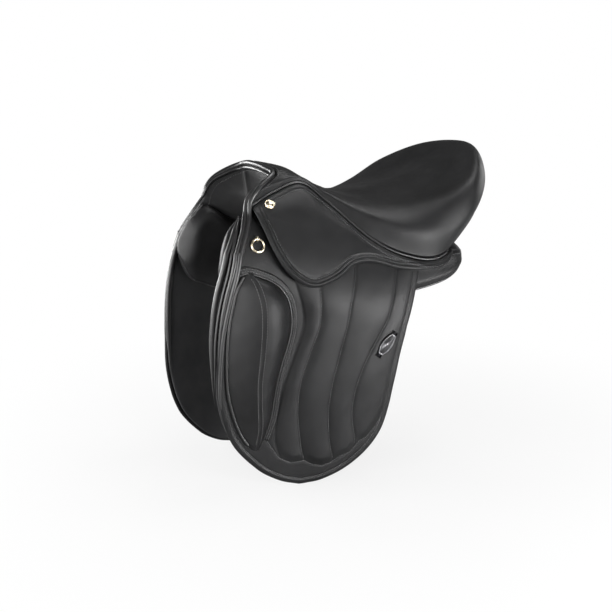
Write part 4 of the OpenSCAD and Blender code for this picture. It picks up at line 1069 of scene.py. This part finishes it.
# Rolls along its front: a cord at the edge, and a thicker one ahead of the panel
w = lin(0, 1, 120)
edge = np.concatenate([mix(np.array(TOP[0]), FLEX_F, lin(.16, 1, 30)[:-1, None]),
                       curve(FRONT, lin(0, .5, 91))])
for ahead, out, r in (([1.5, 1.5, 1.5, 1.5], -9.4, 2.9), ([0, 8, 5, 1.5], -14.5, 4.6)):
    line = edge - np.stack([curve(ahead, w), 0 * w], 1)
    sweat.tube(on_side(line, out), r * smooth(w / .14 + .2) * smooth((1 - w) / .4 + .1), 14, 2)
pair(sweat, "sweat_flap_leather", [LINING, THREAD, PIPE], "saddle", ["sweat_flap_{}"])

# Girth webs and billets

WEB_HEADS = {"front": [(54, 78.7), (68, 75), (82, 65)], "rear": [(62, 93), (76, 80), (90, 66)]}
WEB_TOP, WEB_LAP, WEB_HALF, WEB_N = 46, 12.9, 16, 70
BILLET_DROP, BILLET_LONG, BILLET_HALF, BILLET_THICK, BILLET_TIP = 144.5, 165, 12.5, 4.5, 14
BILLET_ROUND, BILLET_SEAM = .55, 9.6
HOLES, HOLE_R, HOLE_PITCH, HOLE_FIRST = 6, 3.15, 25, 14


def billet_pivot(y):
    return np.array([y, hinge_at(y)[2] - BILLET_DROP / HINGE_COS])


def web_faces(name, y):
    """Outer and inner face of a girth web, from the tree down over the panel to the billet."""
    flex = mix(FLEX_F[1], FLEX_R[1], (y - FLEX_F[0]) / (FLEX_R[0] - FLEX_F[0]))
    z = lin(WEB_TOP, billet_pivot(y)[1] + WEB_LAP, 9)
    x = side_x(y, z) + mix(-1.4, BILLET_OUT, clamp((flex + 25 - z) / 40))
    path = curve(np.concatenate([WEB_HEADS[name], np.stack([x, z], 1)]), lin(0, 1, WEB_N))
    follow = np.minimum(1, lin(0, 11, WEB_N) / 3) ** 2
    side = beside(path)
    side = side * np.sign(side[-1, 0])
    faces = []
    for off in (1.0, -1.0):
        x, z = (path + side * off).T
        rows = [np.stack([x + follow * (side_x(y + e, z) - side_x(y, z)), np.full(WEB_N, y + e), z], 1)
                for e in lin(-WEB_HALF, WEB_HALF, 9)]
        faces.append(np.stack(rows, 1))
    return faces


webs = Part()
for name, y in BILLETS.items():
    outer, inner = web_faces(name, y)
    webs.sheet(outer, inner)
    for e in (1, 7):
        webs.stitches(outer[30:, e] + [.2, 0, 0], np.tile([1., 0, 0], (WEB_N - 30, 1)))
pair(webs, "girth_straps", [WEB, THREAD], "saddle", ["girth_webs_{}"])


def billet_mesh():
    """Flat strap with a round head, a cut tip, punched holes and rounded edges: its points and faces."""
    data = bpy.data.curves.new("outline", "CURVE")
    data.dimensions, data.fill_mode = "2D", "BOTH"
    w, taper = lin(0, math.pi, 25), BILLET_TIP - BILLET_LONG
    edge = list(zip(BILLET_HALF * np.cos(w), BILLET_HALF * np.sin(w)))
    edge += [(-BILLET_HALF, taper), (-BILLET_HALF / 2, -BILLET_LONG), (BILLET_HALF / 2, -BILLET_LONG),
             (BILLET_HALF, taper)]
    rings = [[(x * .955, z * .997) for x, z in edge]]
    a = lin(0, 2 * math.pi, 25)[:-1]
    for k in range(HOLES):
        rings.append(list(zip(HOLE_R * np.cos(a), taper + HOLE_FIRST + HOLE_PITCH * k + HOLE_R * np.sin(a))))
    for ring in rings:
        spline = data.splines.new("POLY")
        spline.points.add(len(ring) - 1)
        for q, (x, z) in zip(spline.points, ring):
            q.co = (x, z, 0, 1)
        spline.use_cyclic_u = True
    data.extrude = BILLET_THICK / 2 - BILLET_ROUND
    data.bevel_depth, data.bevel_resolution = BILLET_ROUND, 2
    solid = bpy.data.objects.new("outline", data)
    bpy.context.scene.collection.objects.link(solid)
    mesh = bpy.data.meshes.new_from_object(solid)
    points, faces = np.array([q.co for q in mesh.vertices], float), [list(f.vertices) for f in mesh.polygons]
    bpy.data.objects.remove(solid)
    bpy.data.curves.remove(data)
    bpy.data.meshes.remove(mesh)
    return points, faces


def billet(y):
    """Girth strap, laid on the side surface, with a row of stitches along its edge."""
    points, faces = billet_mesh()
    at = billet_pivot(y)
    n = side_normal(at)
    a, b = square_to(n)
    put = lambda q: on_side(at, BILLET_OUT) + q[:, :1] * a + q[:, 1:2] * b + q[:, 2:] * n
    part = Part()
    ids = part.points(put(points))
    for f in faces:
        part.quads(*[ids[[k]] for k in (f + f[-1:])[:4]])
    low, tip = BILLET_TIP - BILLET_LONG + 4, 5 - BILLET_LONG
    sew = filled(np.array([(-BILLET_SEAM, 4), (-BILLET_SEAM, low), (-5, tip), (5, tip), (BILLET_SEAM, low),
                           (BILLET_SEAM, 4)]), 11)
    sew = np.concatenate([sew, np.full((len(sew), 1), BILLET_THICK / 2)], 1)
    part.stitches(put(sew), np.tile(n, (len(sew), 1)))
    return part


for name, y in BILLETS.items():
    pair(billet(y), f"billet_{name}_strap", [LINING, THREAD], "billet_" + name + "_{}",
         ["billet_" + name + "_{}"])

# Linings of the arch and of the cantle's back

HEAD_BEND = [(60, 108), (50, 130), (30, 138), (0, 143)]
LINING_DEEP, LINING_THICK = 15.2, 2.5
half = np.concatenate([[(60, 80)], curve(HEAD_BEND, lin(0, 1, 9), (-30, 138))])
after = np.concatenate([half[1:], [half[-2] * [-1, 1]]])
before = np.concatenate([[half[0] - [0, 1]], half[:-1]])
d = unit(after - before)
head_normal = np.stack([d[:, 1], -d[:, 0]], 1)


def arch(t, depth):
    """Line under the tree's head, from the near side (0) to the far side (2)."""
    h = half - depth * head_normal
    q = curve(h, np.where(t > 1, 2 - t, t), h[-2] * [-1, 1])
    return np.stack([np.where(t > 1, -q[:, 0], q[:, 0]), q[:, 1]], 1)


def lining_face(out):
    """Arch lining: over the arch from one seam to the other, and down each side to the panel."""
    t, v = lin(0, 2, 121), lin(1, .08, 16)
    edge = seat_in(0, t, 6.5) + [0, out - 1.5, 0]
    down = front_edge(-1 - out, -2.0, v)
    a = arch(t, LINING_DEEP + LINING_THICK - out)
    mid = np.stack([a[:, 0], np.full(len(t), HEAD_FRONT + out), a[:, 1]], 1)
    foot = mid[0] + np.stack([12 * v, 0 * v, -22 * v], 1)
    edge = np.concatenate([down, edge, flip(down)[::-1]])
    mid = np.concatenate([foot, mid, flip(foot)[::-1]])
    soft = np.hanning(25) / np.hanning(25).sum()
    for i in (0, 2):
        mid[:, i] = np.convolve(np.pad(mid[:, i], 12, "edge"), soft, "valid")
    rows = [mix(edge, mid, smooth(k) * .35 + k * .65) for k in lin(0, 1, 16)]
    for y in lin(HEAD_FRONT + out, LINING_BACK, 22)[1:]:
        rows.append(mid * [1, 0, 1] + [0, y, 0])
    return np.array(rows)


lining = Part()
outer, inner = lining_face(0), lining_face(LINING_THICK)
lining.sheet(outer, inner)
lining.stitches(outer[3], unit(outer[3] - inner[3]))
place(lining, "arch_lining", [PANEL, THREAD], "saddle", ["gullet_lining"], "lining")

FACING_LOW, FACING_IN, FACING_THICK = 60., 34, 2.5
u = lin(0, 1, 81)
s = mix(.80, 1, np.where(u > .5, 2 - 2 * u, 2 * u))
edge = seat_in(s, 0, 1.5) - [0, 0, 1.2]
low = np.stack([edge[:, 0] * .8, edge[:, 1] - FACING_IN, np.full(len(u), FACING_LOW)], 1)
back = np.array([mix(edge, low, k) for k in lin(0, 1, 14)])
back[:, u > .5, 0] *= -1
facing = Part()
facing.sheet(back, back - [0, FACING_THICK, 0])
facing.stitches(back[1], np.tile([0, 1., 0], (len(u), 1)))
place(facing, "cantle_back_facing", [PANEL, THREAD], "saddle", ["cantle_facing"], "leather")

# Floor, light and camera, in metres

FLOOR_Z, FLOOR_HALF, FLOOR_SHADE = -0.3165, 60, (0.30, 0.33)
# Distances between which the floor turns white, and how white it is before the first
FLOOR_FADE, FLOOR_NEAR = (0.2, 0.9), 0.80
# How bright floor and backdrop are in mirrors, and how much light the backdrop gives
FLOOR_MIRROR, WORLD_MIRROR, WORLD_LIGHT = 0.2, 0.18, 0.10
# Name, place, aim, size and power of each lamp
LAMPS = (("key", (1.06, 0.36, -0.12), (0.12, 0, -0.06), (0.55, 0.3), 27),
         ("side", (1.6, -0.35, 0.85), (0, 0, 0.05), (0.5, 0.4), 9),
         ("high", (0.1, 0.7, 1.6), (0, 0, 0), (0.7, 0.7), 26),
         ("fill", (0.05, -1.4, 0.14), (0, -0.1, 0), (2.3, 0.7), 56),
         ("off", (-1.2, -0.7, 0.15), (-0.08, -0.2, 0.03), (0.6, 0.5), 22),
         ("rear", (-0.5, 1.6, 0.2), (0, 0.1, 0.05), (0.5, 0.6), 3))
CAMERA_AIM, CAMERA_FAR = (0, -0.045, -0.065), 2.2
CAMERA_ROUND, CAMERA_UP = math.radians(60), math.radians(14)
SENSOR, FOCAL_PIXELS, IMAGE_PIXELS = 36, 1358, 612

scene = bpy.context.scene
scene.view_settings.view_transform = "Standard"


def in_view(n, mirrored):
    """1 for what the camera sees, straight or through glass, and less for what mirrors show."""
    path = n.add("ShaderNodeLightPath", {}).outputs
    mirror = n.math("MULTIPLY", path["Is Glossy Ray"], mirrored)
    seen = n.math("MAXIMUM", path["Is Camera Ray"], mirror)
    return n.math("MAXIMUM", seen, path["Is Transmission Ray"])


def link_new(name, data):
    o = bpy.data.objects.new(name, data)
    scene.collection.objects.link(o)
    return o


# White backdrop that gives only a dim light
scene.world = bpy.data.worlds.new("studio")
n = Nodes(scene.world)
background = n.tree.nodes["Background"]
n.feed(background, "Color", (1, 1, 1, 1))
n.feed(background, "Strength", n.math("MAXIMUM", in_view(n, WORLD_MIRROR), WORLD_LIGHT))

# Floor that keeps some of the object's shadow close to it and is plain white to the camera further out
floor_mesh = bpy.data.meshes.new("floor")
corners = [(x * FLOOR_HALF, y * FLOOR_HALF, FLOOR_Z) for x, y in ((-1, -1), (1, -1), (1, 1), (-1, 1))]
floor_mesh.from_pydata(corners, [], [(0, 1, 2, 3)])
n = material("pale_floor")
shader = n.tree.nodes["Principled BSDF"]
n.feed(shader, "Roughness", 0.9)
n.feed(shader, "Base Color", n.span(n.noise(6.0, 2.0, 0.5), 0, 1, *FLOOR_SHADE))
far = n.add("ShaderNodeVectorMath", {0: n.where}, operation="LENGTH").outputs["Value"]
white = n.span(far, *FLOOR_FADE, FLOOR_NEAR, 1.0, "SMOOTHSTEP")
white = n.math("MULTIPLY", white, in_view(n, FLOOR_MIRROR))
glow = n.add("ShaderNodeEmission", {"Color": (1, 1, 1, 1)})
both = n.add("ShaderNodeMixShader", {0: white, 1: shader.outputs[0], 2: glow.outputs[0]})
n.feed(n.tree.nodes["Material Output"], "Surface", both.outputs[0])
floor_mesh.materials.append(n.owner)
link_new("floor", floor_mesh)

for name, at, aim, size, power in LAMPS:
    data = bpy.data.lights.new(name, "AREA")
    data.shape, data.size, data.size_y, data.energy = "RECTANGLE", size[0], size[1], power
    lamp = link_new(name, data)
    lamp.location = at
    lamp.rotation_mode = "QUATERNION"
    lamp.rotation_quaternion = (Vector(aim) - Vector(at)).to_track_quat("-Z", "Y")

camera = link_new("camera", bpy.data.cameras.new("camera"))
scene.camera = camera
level = math.cos(CAMERA_UP)
back = Vector((math.sin(CAMERA_ROUND) * level, -math.cos(CAMERA_ROUND) * level, math.sin(CAMERA_UP)))
camera.location = Vector(CAMERA_AIM) + back * CAMERA_FAR
camera.rotation_mode = "QUATERNION"
camera.rotation_quaternion = (-back).to_track_quat("-Z", "Y")
camera.data.sensor_width, camera.data.lens = SENSOR, SENSOR * FOCAL_PIXELS / IMAGE_PIXELS

bpy.context.view_layer.update()
